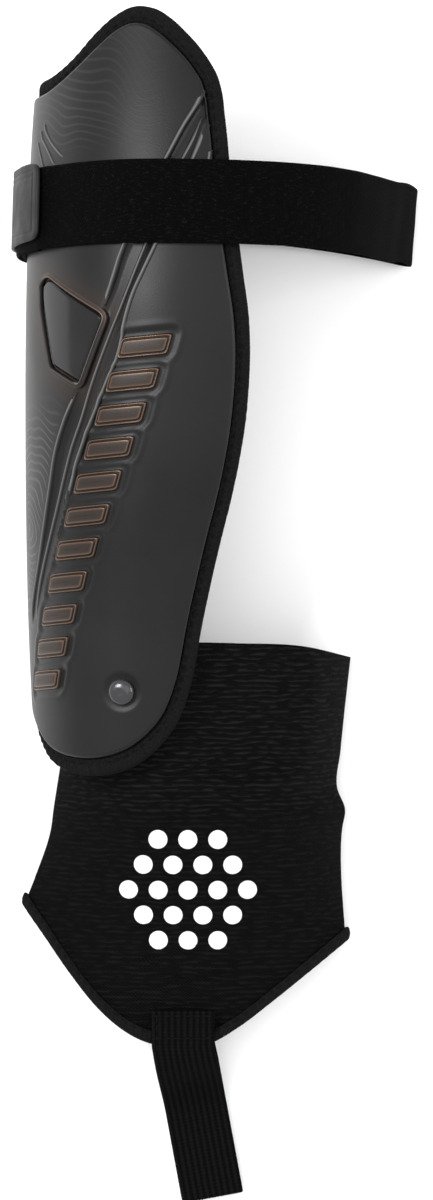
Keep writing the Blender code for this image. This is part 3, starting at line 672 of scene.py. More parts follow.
def straight_loop(sides, count):
    """Closed line with straight runs between the points of its sides, each cut into equal steps."""
    loop = []
    for side in sides:
        path = np.r_[0, np.cumsum(np.linalg.norm(np.diff(side, axis=0), axis=1))]
        at = np.linspace(0, path[-1], count + 1)[:-1]
        loop.append(np.stack([np.interp(at, path, side[:, k]) for k in (0, 1)], axis=-1))
    return np.concatenate(loop)


def softened(loop, times):
    """The closed line with its corners rounded: each point moves towards its neighbours a few times."""
    for _ in range(times):
        loop = (np.roll(loop, 1, axis=0) + 2 * loop + np.roll(loop, -1, axis=0)) / 4
    return loop


window_line = softened(straight_loop([guard_places(w) for w in WINDOW_SIDES], WINDOW_CELLS), LIP_SOFTNESS)
lip = [on_guard(inset(window_line, -d / 1000), h / 1000) for d, h, _ in LIP_STEPS]
lip_rows = np.stack(lip, axis=1)
corner_way = guard_places(WINDOW_SIDES[0][1:])
top_side = hump(way_to_line(window_line, corner_way), 0, COPPER_SIDE)
tint = LIP_STEPS[None, :, 2] * (COPPER_ROUND + COPPER_ABOVE * top_side[:, None])
# Painted highlight: a lighter grey on the lip's inner edge along the window's right side.
right_side = hump(way_to_line(window_line, guard_places(WINDOW_SIDES[1])), 0, PAINTED_HIGHLIGHT_SIDE)
inner_steps = (LIP_STEPS[:, 0] >= 0) & (LIP_STEPS[:, 0] < PAINTED_HIGHLIGHT_WIDTH)
painted_wall_highlight = PAINTED_HIGHLIGHT_STRENGTH * right_side[:, None] * inner_steps
make_piece("window_lip", swept(lip_rows, True), shell_plastic, "shell", copper=tint, worn=painted_wall_highlight)

glass_rings = [inset(window_line, d / 1000) for d, _ in GLASS_STEPS]
glass_places = net(glass_rings[-1], WINDOW_CELLS, WINDOW_CELLS)
u = np.linspace(-1, 1, WINDOW_CELLS + 1)
crown = GLASS_CROWN * (1 - u[:, None] ** 2) * (1 - u[None] ** 2)
glass_top = on_guard(glass_places, GLASS_STEPS[-1, 1] / 1000 + crown)
glass_rim = [on_guard(ring, h / 1000) for ring, (_, h) in zip(glass_rings, GLASS_STEPS)][-2::-1]
glass_under = on_guard(net(glass_rings[0], WINDOW_CELLS, WINDOW_CELLS), GLASS_STEPS[0, 1] / 1000)
window_black, tree, shader = new_finish("window_black", (0.006, 0.006, 0.0065), 0.14, 0.2, coat=0.12)
place = put(tree, "TexCoord", out="Object")
haze = grain(tree, place, 60, 3)
tree.links.new(
    mixed(tree, haze, (0.004, 0.004, 0.0043), (0.010, 0.0098, 0.0095)), shader.inputs["Base Color"]
)
tree.links.new(soft_step(tree, haze, 0.3, 0.7, 0.12, 0.22), shader.inputs["Roughness"])
tree.links.new(bumped(tree, grain(tree, place, 140, 1), 0.00005), shader.inputs["Normal"])
shader.inputs["Coat Roughness"].default_value = 0.06
glass = make_piece(
    "window_glass", plate(glass_top, glass_rim, glass_under), window_black, "window_inlay", crease=60
)
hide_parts("window_inlay")

# The rivet: a small glossy button of black chromed plastic, its stem pressed into the shell.
RIVET_RADIUS = 0.004
RIVET_HEIGHT = 0.0021
RIVET_SHANK = 0.0014
RIVET_SINK = 0.0015
RIVET_DOME = 0.8
DIMPLE_DEPTH = 0.00022
DIMPLE_RADIUS = 0.0011
RIVET_POINTS = 64
RIVET_RINGS = 22


def turned(profile, at, count):
    """Round shape on the shell: rings of (radius, height) about the line out of its face."""
    steps = np.array([(0, 0), (FIT_GAP, 0), (0, FIT_GAP)])
    foot, aside, ahead = on_guard(at + steps, np.zeros(len(steps)))
    axis = np.cross(aside - foot, ahead - foot)
    axis /= np.linalg.norm(axis)
    aside = np.cross((0, 1, 0), axis)
    aside /= np.linalg.norm(aside)
    ahead = np.cross(axis, aside)
    turn = np.linspace(0, 2 * np.pi, count, endpoint=False)[:, None]
    circle = np.cos(turn) * aside + np.sin(turn) * ahead
    return swept(foot + profile[:, :1, None] * circle[None] + profile[:, 1:, None] * axis)


tilt = np.linspace(math.radians(88.5), 0, RIVET_RINGS)
dome_reach = RIVET_RADIUS * np.cos(tilt)
dome_rise = FIT_GAP + RIVET_HEIGHT * np.sin(tilt) ** RIVET_DOME
dome_rise -= DIMPLE_DEPTH * hump(dome_reach, 0, DIMPLE_RADIUS)
dome = np.stack([dome_reach, dome_rise], axis=-1)
stem = np.array([
    (RIVET_RADIUS - 0.0002, 0.00005), (RIVET_SHANK + 0.0003, 0.0), (RIVET_SHANK, -0.0002),
    (RIVET_SHANK, -RIVET_SINK),
])
rivet_black, tree, shader = new_finish("rivet_black", (0.05, 0.05, 0.053), 0.14, metallic=0.7)
place = put(tree, "TexCoord", out="Object")
scuff = grain(tree, stretched(tree, place, (1, 3, 1)), 900, 3)
tree.links.new(soft_step(tree, scuff, 0.3, 0.8, 0.13, 0.32), shader.inputs["Roughness"])
tree.links.new(bumped(tree, scuff, 0.00002), shader.inputs["Normal"])
rivet = make_piece(
    "rivet_button", turned(np.vstack([dome, stem]), guard_places(RIVET_AT), RIVET_POINTS),
    rivet_black, "rivet", crease=50,
)
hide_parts("rivet")

# The backing: a pad of foam about 5 mm thick, covered with black textile on both faces, thinner along
# its edge where the tape is folded round it. The wearer's side has soft channels pressed in.
BACKING_THICKNESS = 0.005
BACKING_EDGE = 0.003
BACKING_TOP = SHELL_UNDER - FIT_GAP
BACKING_UNDER = BACKING_TOP - BACKING_THICKNESS
BACKING_RIM_UNDER = BACKING_TOP - BACKING_EDGE
TAPE_WALL = 0.001
TAPE_REACH = TAPE_WALL + FIT_GAP
PAD_PARTS = (6, 10)
PAD_SWELLS = 0.006
CHANNEL_DEPTH = 0.0009
CHANNEL_PITCH = 0.034
CHANNEL_WIDTH = 0.045
CHANNEL_SLOPE = 0.25
CHANNEL_STARTS = (0.008, 0.014)

pad_cells = (EDGE_CELLS[0] * PAD_PARTS[0], EDGE_CELLS[1] * PAD_PARTS[1])
pad_lip = finer(inset(tape_line, SHELL_MARGIN + FIT_GAP), PAD_PARTS)
pad_edge = finer(inset(tape_line, TAPE_REACH), PAD_PARTS)
pad_places = net(pad_lip, *pad_cells)
inwards = np.abs(way_to_line(pad_places, np.vstack([pad_lip[::7], pad_lip[:1]])))
swell = ramp(inwards, 0.0, PAD_SWELLS)
wave = pad_places[..., 1] + CHANNEL_SLOPE * np.abs(pad_places[..., 0])
channel = hump(np.abs((wave / CHANNEL_PITCH) % 1 - 0.5), 0, CHANNEL_WIDTH)
channel = channel * ramp(inwards, *CHANNEL_STARTS)
pad_height = BACKING_RIM_UNDER + (BACKING_UNDER - BACKING_RIM_UNDER) * swell + CHANNEL_DEPTH * channel
pad_rim = [
    on_guard(pad_edge, BACKING_RIM_UNDER),
    on_guard(pad_edge, BACKING_TOP),
]
pad_top = on_guard(net(inset(tape_line, SHELL_MARGIN + FIT_GAP), *EDGE_CELLS), BACKING_TOP)
pad_cloth, tree, shader = new_finish("pad_cloth", (0.008, 0.008, 0.0085), 0.95, 0.04)
place = put(tree, "TexCoord", out="Object")
loops = put(tree, "TexVoronoi", {"Vector": place, "Scale": 900.0})
tree.links.new(
    mixed(tree, grain(tree, place, 320, 4), (0.007, 0.007, 0.008), (0.022, 0.022, 0.024)),
    shader.inputs["Base Color"],
)
tree.links.new(bumped(tree, loops, 0.00025), shader.inputs["Normal"])
pad = make_piece(
    "backing_pad", plate(on_guard(pad_places, pad_height), pad_rim, pad_top), pad_cloth, "backing"
)
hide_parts("backing")

# The edge tape: a soft knitted tape folded round the backing's edge, and sewn through both its laps
# with a row of stitches, which pull it in a little.
TAPE_SIDE = 0.8
TAPE_CROWN = 1.15
CLOTH_GAP = 0.0004
TAPE_PARTS = (7, 8)
TAPE_PROFILE_STEPS = 4
PUCKER = 0.00016
STITCH_PITCH = 0.0034
STITCH_LENGTH = 0.0024
STITCH_RADIUS = 0.00028
STITCH_SIDES = 6
STITCH_TAPER = 0.7
RIPPLE_WAVES = 9
SEAM_INSET = 0.72
TAPE_LUMPS = 0.019


def ripples(across, along, size, seed):
    """Soft lumps from about -1 to 1: the sum of a few slanted waves near that size, set by the seed."""
    rng = np.random.default_rng(seed)
    total = np.zeros(np.broadcast(across, along).shape)
    for length, turn, phase in zip(
        size * rng.uniform(0.6, 1.8, RIPPLE_WAVES),
        rng.uniform(0, np.pi, RIPPLE_WAVES),
        rng.uniform(0, 2 * np.pi, RIPPLE_WAVES),
    ):
        way = across * math.cos(turn) + along * math.sin(turn)
        total = total + np.sin(2 * np.pi * way / length + phase)
    return total / 4


def thread(centres, ways, ups):
    """Stitches: at each centre a spindle of five six-sided rings along its way, thinner at its ends."""
    along = np.linspace(-1, 1, 5)
    turn = np.arange(STITCH_SIDES) * 2 * np.pi / STITCH_SIDES
    thick = STITCH_RADIUS * (1 - STITCH_TAPER * along**2)
    sides = np.cross(ways, ups)
    circle = np.cos(turn)[:, None] * sides[:, None] + np.sin(turn)[:, None] * ups[:, None]
    rows = centres[:, None, None] + along[:, None, None] * (STITCH_LENGTH / 2) * ways[:, None, None]
    rows = rows + thick[:, None, None] * circle[:, None]
    return together([swept(row) for row in rows])


def stitched(places, outs):
    """Stitches along a line on the guard, at even steps."""
    steps = np.r_[0, np.cumsum(np.linalg.norm(np.diff(places, axis=0), axis=1))]
    at = np.arange(STITCH_PITCH, steps[-1], STITCH_PITCH)
    middle = np.stack([np.interp(at, steps, places[:, k]) for k in (0, 1)], axis=-1)
    ahead = np.stack([np.interp(at + STITCH_RADIUS, steps, places[:, k]) for k in (0, 1)], axis=-1)
    centres = on_guard(middle, np.full(len(at), outs))
    ways = on_guard(ahead, np.full(len(at), outs)) - centres
    ways /= np.linalg.norm(ways, axis=1, keepdims=True)
    ups = on_guard(middle, np.full(len(at), outs + STITCH_RADIUS)) - centres
    ups -= ways * (ups * ways).sum(axis=1, keepdims=True)
    ups /= np.linalg.norm(ups, axis=1, keepdims=True)
    return thread(centres, ways, ups)


lap = SHELL_MARGIN - CLOTH_GAP
over, below = BACKING_TOP + FIT_GAP, BACKING_RIM_UNDER - FIT_GAP
side = TAPE_WALL * TAPE_SIDE
tape_corners = np.array([
    (lap, over), (lap, over + side), (lap / 2, over + TAPE_WALL * TAPE_CROWN),
    (TAPE_WALL, over + side), (0, over - TAPE_WALL / 2), (0, below + TAPE_WALL / 2),
    (TAPE_WALL, below - side), (lap, below - side), (lap, below), (TAPE_WALL, below),
    (TAPE_WALL, over),
])
pairs = list(zip(tape_corners, np.roll(tape_corners, -1, axis=0)))
tape_profile = softened(straight_loop([np.array(pair) for pair in pairs], TAPE_PROFILE_STEPS), 1)
tape_runs = [finer(inset(tape_line, d), TAPE_PARTS) for d, _ in tape_profile]
middle_run = finer(tape_line, TAPE_PARTS)
steps = np.linalg.norm(np.diff(np.vstack([middle_run, middle_run[:1]]), axis=0), axis=1)
tape_path = np.r_[0, np.cumsum(steps)][:-1]
turns = round(steps.sum() / STITCH_PITCH)
wobble = np.sin(2 * np.pi * turns * tape_path / steps.sum())
wobble = wobble + ripples(np.zeros(len(tape_path)), tape_path, TAPE_LUMPS, 3)
outer = np.isin(np.arange(len(tape_profile)) // TAPE_PROFILE_STEPS, (1, 2, 3, 6, 7))
tape_rows = np.stack([
    on_guard(run, out + np.where(moves, PUCKER * wobble * np.sign(out - BACKING_TOP), 0))
    for run, (_, out), moves in zip(tape_runs, tape_profile, outer)
], axis=1)
profile_path = np.cumsum(np.linalg.norm(tape_profile - np.roll(tape_profile, 1, axis=0), axis=1))
tape_way = np.stack(np.broadcast_arrays(profile_path[None], tape_path[:, None]), axis=-1)

tape_knit, tree, shader = new_finish("tape_knit", (0.004, 0.004, 0.0042), 0.95, 0.03)
way_over = put(tree, "UVMap", uv_map="weave")
ribs = put(
    tree, "TexWave",
    {"Vector": way_over, "Scale": 210.0, "Distortion": 2.5, "Detail": 2.0, "Detail Scale": 4.0},
    bands_direction="Y",
)
fluff = grain(tree, put(tree, "TexCoord", out="Object"), 1500, 4, 0.65)
tree.links.new(
    mixed(tree, fluff, (0.001, 0.001, 0.0011), (0.013, 0.013, 0.0137)), shader.inputs["Base Color"]
)
tree.links.new(bumped(tree, fluff, 0.0004, bumped(tree, ribs, 0.00018)), shader.inputs["Normal"])
tape = make_piece(
    "edge_tape", swept(tape_rows, True), tape_knit, "edge_binding", way_over=tape_way.reshape(-1, 2)
)
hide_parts("edge_binding")

thread_black, tree, shader = new_finish("thread_black", (0.004, 0.004, 0.0042), 0.85, 0.05)
place = put(tree, "TexCoord", out="Object")
tree.links.new(
    mixed(tree, grain(tree, place, 1200, 2), (0.002, 0.002, 0.0022), (0.006, 0.006, 0.0063)),
    shader.inputs["Base Color"],
)
tree.links.new(bumped(tree, grain(tree, place, 4000, 1), 0.0001), shader.inputs["Normal"])
seam_run = finer(inset(tape_line, lap * SEAM_INSET), (4, 4))
seam_run = np.vstack([seam_run, seam_run[:1]])
seam = together([
    stitched(seam_run, over + TAPE_WALL), stitched(seam_run, below - side - STITCH_RADIUS / 3)
])
tape_seam = make_piece("edge_seam", seam, thread_black, "edge_binding")

# The calf strap: one band of woven elastic, 25 mm wide, sewn to the guard's left edge. It runs under
# the guard and along the floor to the right, folds, and comes back over the shell to its own start.
# Its lower layer bends up the shin a little, so that the upper one hides it.
STRAP_WIDTH = 0.025
STRAP_THICKNESS = 0.0014
STRAP_FROM_ANKLE = 0.2083
STRAP_DRIFT = 0.0019
STRAP_SKEW = 0.0085
STRAP_SKEW_ENDS = (0.010, 0.025)
STRAP_SKEW_LEFT = -0.030
STRAP_LEAN = 0.085
STRAP_REACH = 0.0725
STRAP_FOLD = 0.0036
STRAP_START = math.radians(-62)
STRAP_LEAVES = math.radians(-108)
STRAP_LANDS = math.radians(16)
STRAP_END = math.radians(-104)
STRAP_CLIMB = math.radians(13)
STRAP_FOLD_TURN = math.radians(110)
STRAP_ARCH = 0.4
RIDGE_HEIGHT = 0.0006
ARC_POINTS = 44
RUN_POINTS = 16
BAND_STEPS = (36, 5)
BAND_THINS = 0.25
BAND_EDGE = 0.94
BAND_WAVE = 0.00022
BAND_LUMPS = (0.021, 0.030)
BAND_FREE_FROM = (0.030, 0.050)
BAND_FREE_TO = (0.120, 0.150)
STRAP_ENDS_PITCH = 0.0013
STRAP_PICKS_PITCH = 0.00095


def strap_line(y):
    """One edge of the strap's middle face: places (x, z) from its sewn start round to its end.

    Arcs round the shell's section, a quarter turn down to the floor, a straight run, a fold, and
    one smooth arch (a curve pulled by two handles) from the fold up to the shell.
    """
    centre, height, radius = (float(value) for value in section(np.array(y)))
    first = radius + FIT_GAP + STRAP_THICKNESS / 2
    second = first + STRAP_THICKNESS + FIT_GAP

    def on_arc(turn, reach):
        return np.stack([centre + reach * np.sin(turn), height + reach * np.cos(turn)], axis=-1)

    start = on_arc(np.linspace(STRAP_START, STRAP_LEAVES, ARC_POINTS), first)
    lean = np.pi + STRAP_LEAVES
    bend = np.linspace(lean, 0, ARC_POINTS)[1:]
    bow = (start[-1, 1] - STRAP_THICKNESS / 2) / (1 - math.cos(lean))
    drop = np.stack([math.sin(lean) - np.sin(bend), math.cos(lean) - np.cos(bend)], axis=-1)
    landing = start[-1] + bow * drop
    reach = STRAP_REACH - STRAP_LEAN * (STRAP_FROM_ANKLE + STRAP_WIDTH / 2 - y)
    middle = np.array([reach - STRAP_THICKNESS / 2 - STRAP_FOLD, STRAP_THICKNESS / 2 + STRAP_FOLD])
    tilt = np.linspace(0, STRAP_FOLD_TURN, ARC_POINTS)[:, None]
    fold = middle + STRAP_FOLD * np.hstack([np.sin(tilt), -np.cos(tilt)])
    run = landing[-1] + (fold[0] - landing[-1]) * np.linspace(0, 1, RUN_POINTS)[1:-1, None]
    turn = np.linspace(STRAP_LANDS, STRAP_END, 3 * ARC_POINTS)
    lift = RIDGE_HEIGHT * ramp(turn, STRAP_START + 2 * STRAP_CLIMB, STRAP_START + 3 * STRAP_CLIMB)
    climb = 1 - ramp(turn, STRAP_START + FIT_GAP / radius, STRAP_START + STRAP_CLIMB)
    back = on_arc(turn, first + lift + (second - first) * climb)
    out = np.array([-math.sin(STRAP_FOLD_TURN - np.pi / 2), math.cos(STRAP_FOLD_TURN - np.pi / 2)])
    into = np.array([-math.cos(STRAP_LANDS), math.sin(STRAP_LANDS)])
    pull = STRAP_ARCH * np.linalg.norm(back[0] - fold[-1])
    t = np.linspace(0, 1, ARC_POINTS)[1:-1, None]
    arch = (
        (1 - t) ** 3 * fold[-1]
        + 3 * t * (1 - t) ** 2 * (fold[-1] + pull * out)
        + 3 * t * t * (1 - t) * (back[0] - pull * into)
        + t**3 * back[0]
    )
    return np.concatenate([start, landing, run, fold, arch, back])


def band_profile(width, thickness):
    """Section of a woven band: a flat rectangle with round edges, as (place across, height)."""
    w, h = width / 2, thickness / 2
    corners = np.array([(-w, h), (w, h), (w, -h), (-w, -h), (-w, h)])
    across, down = BAND_STEPS
    sides = []
    for (start, end), count in zip(zip(corners, corners[1:]), (across, down, across, down)):
        sides.append(start + (end - start) * np.linspace(0, 1, count + 1)[:-1, None])
    profile = softened(np.concatenate(sides), 1)
    edge = np.abs(profile[:, 0]) / w
    profile[:, 1] *= 1 - BAND_THINS * ramp(edge, BAND_EDGE, 1.0)
    return profile


strap_profile = band_profile(STRAP_WIDTH, STRAP_THICKNESS)
low, high = (strap_line(STRAP_FROM_ANKLE + k * STRAP_WIDTH / 2) for k in (-1, 1))
share = (strap_profile[:, 0] / STRAP_WIDTH + 0.5)[None, :, None]
line = low[:, None] + (high - low)[:, None] * share
ahead = np.gradient(line, axis=0)
out = np.stack([ahead[..., 1], -ahead[..., 0]], axis=-1)
out /= -np.linalg.norm(out, axis=-1, keepdims=True)
strap_path = np.r_[0, np.cumsum(np.linalg.norm(np.diff((low + high) / 2, axis=0), axis=1))]
free = ramp(strap_path, *BAND_FREE_FROM) * ramp(strap_path[-1] - strap_path, *BAND_FREE_TO)
sway = ripples(strap_profile[None, :, 0], strap_path[:, None], BAND_LUMPS[0], 5)
sway = BAND_WAVE * sway * free[:, None]
line = line + out * (strap_profile[None, :, 1:2] + sway[..., None])
y = STRAP_FROM_ANKLE + strap_profile[None, :, 0] - STRAP_DRIFT * (line[..., 0] / STRAP_REACH + 1) / 2
skew = STRAP_SKEW * (1 - np.clip(line[..., 0] / STRAP_REACH, 0, 1) ** 2)
y = y + skew * ramp(line[..., 0], STRAP_SKEW_LEFT, 0) * (1 - ramp(line[..., 1], *STRAP_SKEW_ENDS))
y = y + BAND_WAVE * ripples(np.zeros(len(strap_path)), strap_path, BAND_LUMPS[1], 6)[:, None]
strap_rows = np.stack([line[..., 0], y, line[..., 1]], axis=-1)
strap_way = np.stack(np.broadcast_arrays(strap_profile[None, :, 0], strap_path[:, None]), axis=-1)

strap_elastic, tree, shader = new_finish("strap_elastic", (0.004, 0.004, 0.0042), 0.9, 0.03)
way_over = put(tree, "UVMap", uv_map="weave")
split = put(tree, "SeparateXYZ", {"Vector": way_over}, out="X")
length = put(tree, "SeparateXYZ", {"Vector": way_over}, out="Y")
ends = maths(tree, "SINE", maths(tree, "MULTIPLY", split, 2 * math.pi / STRAP_ENDS_PITCH))
picks = maths(tree, "SINE", maths(tree, "MULTIPLY", length, 2 * math.pi / STRAP_PICKS_PITCH))
weave = maths(tree, "MULTIPLY_ADD", maths(tree, "MULTIPLY", ends, picks), 0.5, 0.5)
lint = grain(tree, stretched(tree, way_over, (2.5, 0.5, 1)), 900, 3, 0.7)
lighter = maths(tree, "MULTIPLY", soft_step(tree, lint, 0.52, 0.75), weave)
tree.links.new(
    mixed(tree, lighter, (0.001, 0.001, 0.0011), (0.013, 0.013, 0.0135)), shader.inputs["Base Color"]
)
tree.links.new(bumped(tree, lint, 0.00012, bumped(tree, weave, 0.0002)), shader.inputs["Normal"])
strap = make_piece(
    "strap_band", swept(strap_rows), strap_elastic, "calf_strap", way_over=strap_way.reshape(-1, 2)
)
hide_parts("calf_strap")

# The pull tab: a moulded plate of soft dark rubber over the strap's end, with a groove along its edge
# and a fold line near its top. It is bare.
TAB_WIDTH = 0.0238
TAB_THICKNESS = 0.0015
TAB_FROM_ANKLE = 0.21
TAB_FROM = math.radians(-57)
TAB_TO = math.radians(-105)
TAB_SQUARENESS = 10
TAB_CELLS = 60
TAB_GROOVE = 0.00018
TAB_BORDER = 0.0026
TAB_BORDER_WIDTH = 0.00035
TAB_FOLD_AT = 0.32
TAB_FOLD_SHARE = 0.7
TAB_FOLD_WIDTH = 0.0004
TAB_FOLD_ENDS = (0.0024, 0.003)

tab_floor = 3 * FIT_GAP + 2 * STRAP_THICKNESS
tab_radius = float(section(np.array(TAB_FROM_ANKLE))[2])
tab_half = np.array([tab_radius * (TAB_FROM - TAB_TO), TAB_WIDTH]) / 2
tab_middle = np.array([tab_radius * ((TAB_FROM + TAB_TO) / 2 + LAY_TURN), TAB_FROM_ANKLE])
tab_turn = 0.75 * np.pi - np.linspace(0, 2 * np.pi, 4 * TAB_CELLS, endpoint=False)
tab_ring = np.stack([np.cos(tab_turn), np.sin(tab_turn)], axis=-1)
tab_ring = np.sign(tab_ring) * np.abs(tab_ring) ** (2 / TAB_SQUARENESS)


def tab_outline(by):
    """The tab's outline, that far inside its edge: a squared ellipse."""
    return (tab_half - by) * tab_ring + tab_middle


half = TAB_THICKNESS / 2
tab_rim = [
    on_guard(tab_outline(half * (1 - math.sin(a))), tab_floor + half * (1 + math.cos(a)))
    for a in np.radians([25, 50, 75, 100, 130])
]
tab_places = net(tab_outline(half), TAB_CELLS, TAB_CELLS)
to_edge = (tab_half - np.abs(tab_places - tab_middle)).min(axis=-1)
border = hump(to_edge, TAB_BORDER, TAB_BORDER_WIDTH)
fold_line = hump(tab_places[..., 1], TAB_FROM_ANKLE + TAB_FOLD_AT * TAB_WIDTH, TAB_FOLD_WIDTH)
fold_line = fold_line * ramp(to_edge, *TAB_FOLD_ENDS)
tab_height = tab_floor + TAB_THICKNESS - TAB_GROOVE * np.maximum(border, TAB_FOLD_SHARE * fold_line)
tab_under = on_guard(net(tab_outline(half), TAB_CELLS, TAB_CELLS), tab_floor)
tab_rubber, tree, shader = new_finish("tab_rubber", (0.009, 0.009, 0.0097), 0.6, 0.18)
place = put(tree, "TexCoord", out="Object")
smear = grain(tree, place, 160, 3)
rubber = mixed(tree, smear, (0.007, 0.007, 0.0076), (0.012, 0.012, 0.013))
tree.links.new(rubber, shader.inputs["Base Color"])
tree.links.new(soft_step(tree, smear, 0.3, 0.7, 0.48, 0.62), shader.inputs["Roughness"])
tree.links.new(bumped(tree, grain(tree, place, 3200, 2), 0.00004), shader.inputs["Normal"])
tab = make_piece(
    "pull_tab", plate(on_guard(tab_places, tab_height), tab_rim, tab_under), tab_rubber, "strap_tab"
)
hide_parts("strap_tab")

# The ankle sock: a knitted tube, lying flat with its upper end inside the guard. Above the crease at
# the ankle its rows are crinkled by the elastic in them, and below it the knit is finer. The near
# side carries a plain print of round white dots.
SOCK_HALF = 0.0505
SOCK_TOP = 0.0758
SOCK_DROP = 0.0492
SOCK_WALL = 0.002
SOCK_FOLD = 0.0042
SOCK_CREST = 0.05
SOCK_FLAT = 0.85
SOCK_SQUARENESS = 2.5
SOCK_FULLNESS = 0.8
SOCK_SOFT = 0.0008
SOCK_STEEPEST = 2.0
CREASE_DEPTH = 0.003
CREASE_HALF = 0.006
CREASE_FROM_ANKLE = 0.0235
CREASE_STARTS = -0.4
CREASE_SWELL = 0.35
SWELL_BELOW = 1.6
HEM_WALL = 0.0008
HEM_LAP = 0.0036
HEM_LIFT_ENDS = (0.06, 0.16)
STIRRUP_WIDTH = 0.0195
STIRRUP_THICKNESS = 0.0014
STIRRUP_LEFT = 0.0016
STIRRUP_LIFT_ENDS = (0.14, 0.30)
SOCK_ROWS = 170
SOCK_INNER_ROWS = 18
SOCK_COLUMNS = 360
WRINKLE = 0.0005
WRINKLE_FROM, WRINKLE_TO = (0.07, 0.16), (0.02, 0.08)
WRINKLE_FADE = 0.7
WRINKLE_ROOM = (0.0008, 0.005)
PULLED_TO = (0.012, 0.020)
ROW_PITCH = 0.0016
ROW_SWAY = 0.0022
CRINKLED_FROM = (0.020, 0.028)
LOOP_SIZE = (0.0011, 0.0009)
DOT_PITCH = 0.0092
DOT_RADIUS = 0.0029
# Columns: place across the sock from the left fold at -1 to the right one at 1, share of its drop
# below the ankle.
HEM_EDGE = np.array([
    (-1.00, 0.130), (-0.88, 0.290), (-0.72, 0.520), (-0.55, 0.740), (-0.35, 0.915), (-0.12, 1.000),
    (0.14, 0.985), (0.32, 0.880), (0.55, 0.700), (0.80, 0.500), (0.93, 0.400), (1.00, 0.350),
])
# Columns: place across the sock, share of its top's height above the ankle.
MOUTH_EDGE = np.array([(-1.0, 1.000), (0.2, 1.000), (0.7, 0.985), (1.0, 0.943)])
# Columns: share of the way from the ankle up to the sock's top, then shares of its half width left
# and right of the ankle.
SOCK_FOLDS = np.array([
    (-0.264, 1.030, 0.985), (-0.084, 1.020, 0.965), (0.026, 0.960, 0.955), (0.228, 0.861, 0.960),
    (0.310, 0.845, 0.978), (0.396, 0.825, 0.930), (0.554, 0.790, 0.950), (1.000, 0.780, 1.022),
])
# Columns: share of the way from the ankle up to the sock's top, share of its crest above the floor.
CRESTS = np.array([
    (-0.649, 0.308), (-0.501, 0.370), (-0.264, 0.458), (0.000, 0.572), (0.264, 0.704),
    (0.475, 0.860), (0.726, 0.990), (1.000, 1.000),
])


# Columns: share of the wrinkles, how much flatter they lie than long, their size, their seed.
CRUMPLES = ((1.0, 2.2, 0.026, 11), (0.5, 1.6, 0.012, 12))


def room_under_guard(x, y, depth):
    """How high cloth may lie under the guard: inside its backing, then straight on from its edge."""
    centre, height, radius = section(y)
    inside = radius + BACKING_UNDER - FIT_GAP - depth
    edge = centre + inside * math.sin(STRAP_LANDS)
    bow = height + np.sqrt(np.clip(inside**2 - (x - centre) ** 2, 0, None))
    slope = height + inside * math.cos(STRAP_LANDS) - (x - edge) * math.tan(STRAP_LANDS)
    free = np.clip(ANKLE_TO_GUARD - y - FIT_GAP, 0, None)
    return np.where(x > edge, slope, bow) + SOCK_STEEPEST * free


def sock_face(depth, rows):
    """Rows of points from the hem to the mouth on the sock's outside, or that deep inside its wall.

    Across, a point goes round with the cosine of its turn. The near side rises by a flattened
    curve to its crest, kept under the guard, and the far side lies on the floor.
    """
    column = np.arange(SOCK_COLUMNS)
    turn = 2 * np.pi * column[None] / SOCK_COLUMNS
    up = np.linspace(0, 1, rows)[:, None]
    place = -np.cos(turn)
    low = -SOCK_DROP * smooth(place, HEM_EDGE[:, 0], HEM_EDGE[:, 1])
    high = SOCK_TOP * smooth(place, MOUTH_EDGE[:, 0], MOUTH_EDGE[:, 1])
    y = low + (high - low) * up
    folds = []
    for end, share in ((0, 1), (SOCK_COLUMNS // 2, 2)):
        level = y[:, end : end + 1] / SOCK_TOP
        folds.append(SOCK_HALF * smooth(level, SOCK_FOLDS[:, 0], SOCK_FOLDS[:, share]) - depth)
    left, right = -folds[0], folds[1]
    x = left + (right - left) * (1 + place) / 2
    near_middle = 1 - ramp(np.abs(x + STIRRUP_LEFT), STIRRUP_WIDTH / 2, STIRRUP_WIDTH)
    lift = (HEM_WALL + FIT_GAP) * (1 - ramp(up, *HEM_LIFT_ENDS))
    lift = lift + (STIRRUP_THICKNESS + FIT_GAP) * (1 - ramp(up, *STIRRUP_LIFT_ENDS)) * near_middle
    middle = lift + SOCK_FOLD
    crest = SOCK_CREST * smooth(y / SOCK_TOP, CRESTS[:, 0], CRESTS[:, 1]) - depth
    free = middle + (crest - middle) * (1 - np.abs(place) ** SOCK_SQUARENESS) ** SOCK_FULLNESS
    dent = hump(y, CREASE_FROM_ANKLE, CREASE_HALF)
    dent = dent - CREASE_SWELL * hump(y, CREASE_FROM_ANKLE - SWELL_BELOW * CREASE_HALF, CREASE_HALF)
    dent = dent * ramp(x / SOCK_HALF, CREASE_STARTS, 0) * np.sqrt(np.sin(turn).clip(0))
    free = free - CREASE_DEPTH * dent
    room = room_under_guard(x, y, depth)
    top = -SOCK_SOFT * np.log(np.exp(-free / SOCK_SOFT) + np.exp(-room / SOCK_SOFT))
    side = np.clip((np.abs(place) - SOCK_FLAT) / (1 - SOCK_FLAT), 0, 1)
    bottom = lift + depth + (SOCK_FOLD - depth) * (1 - np.sqrt(1 - side**2))
    z = np.where((column > 0) & (column < SOCK_COLUMNS // 2), top, bottom)
    return np.stack([x, y, z], axis=-1), turn, up, room - top


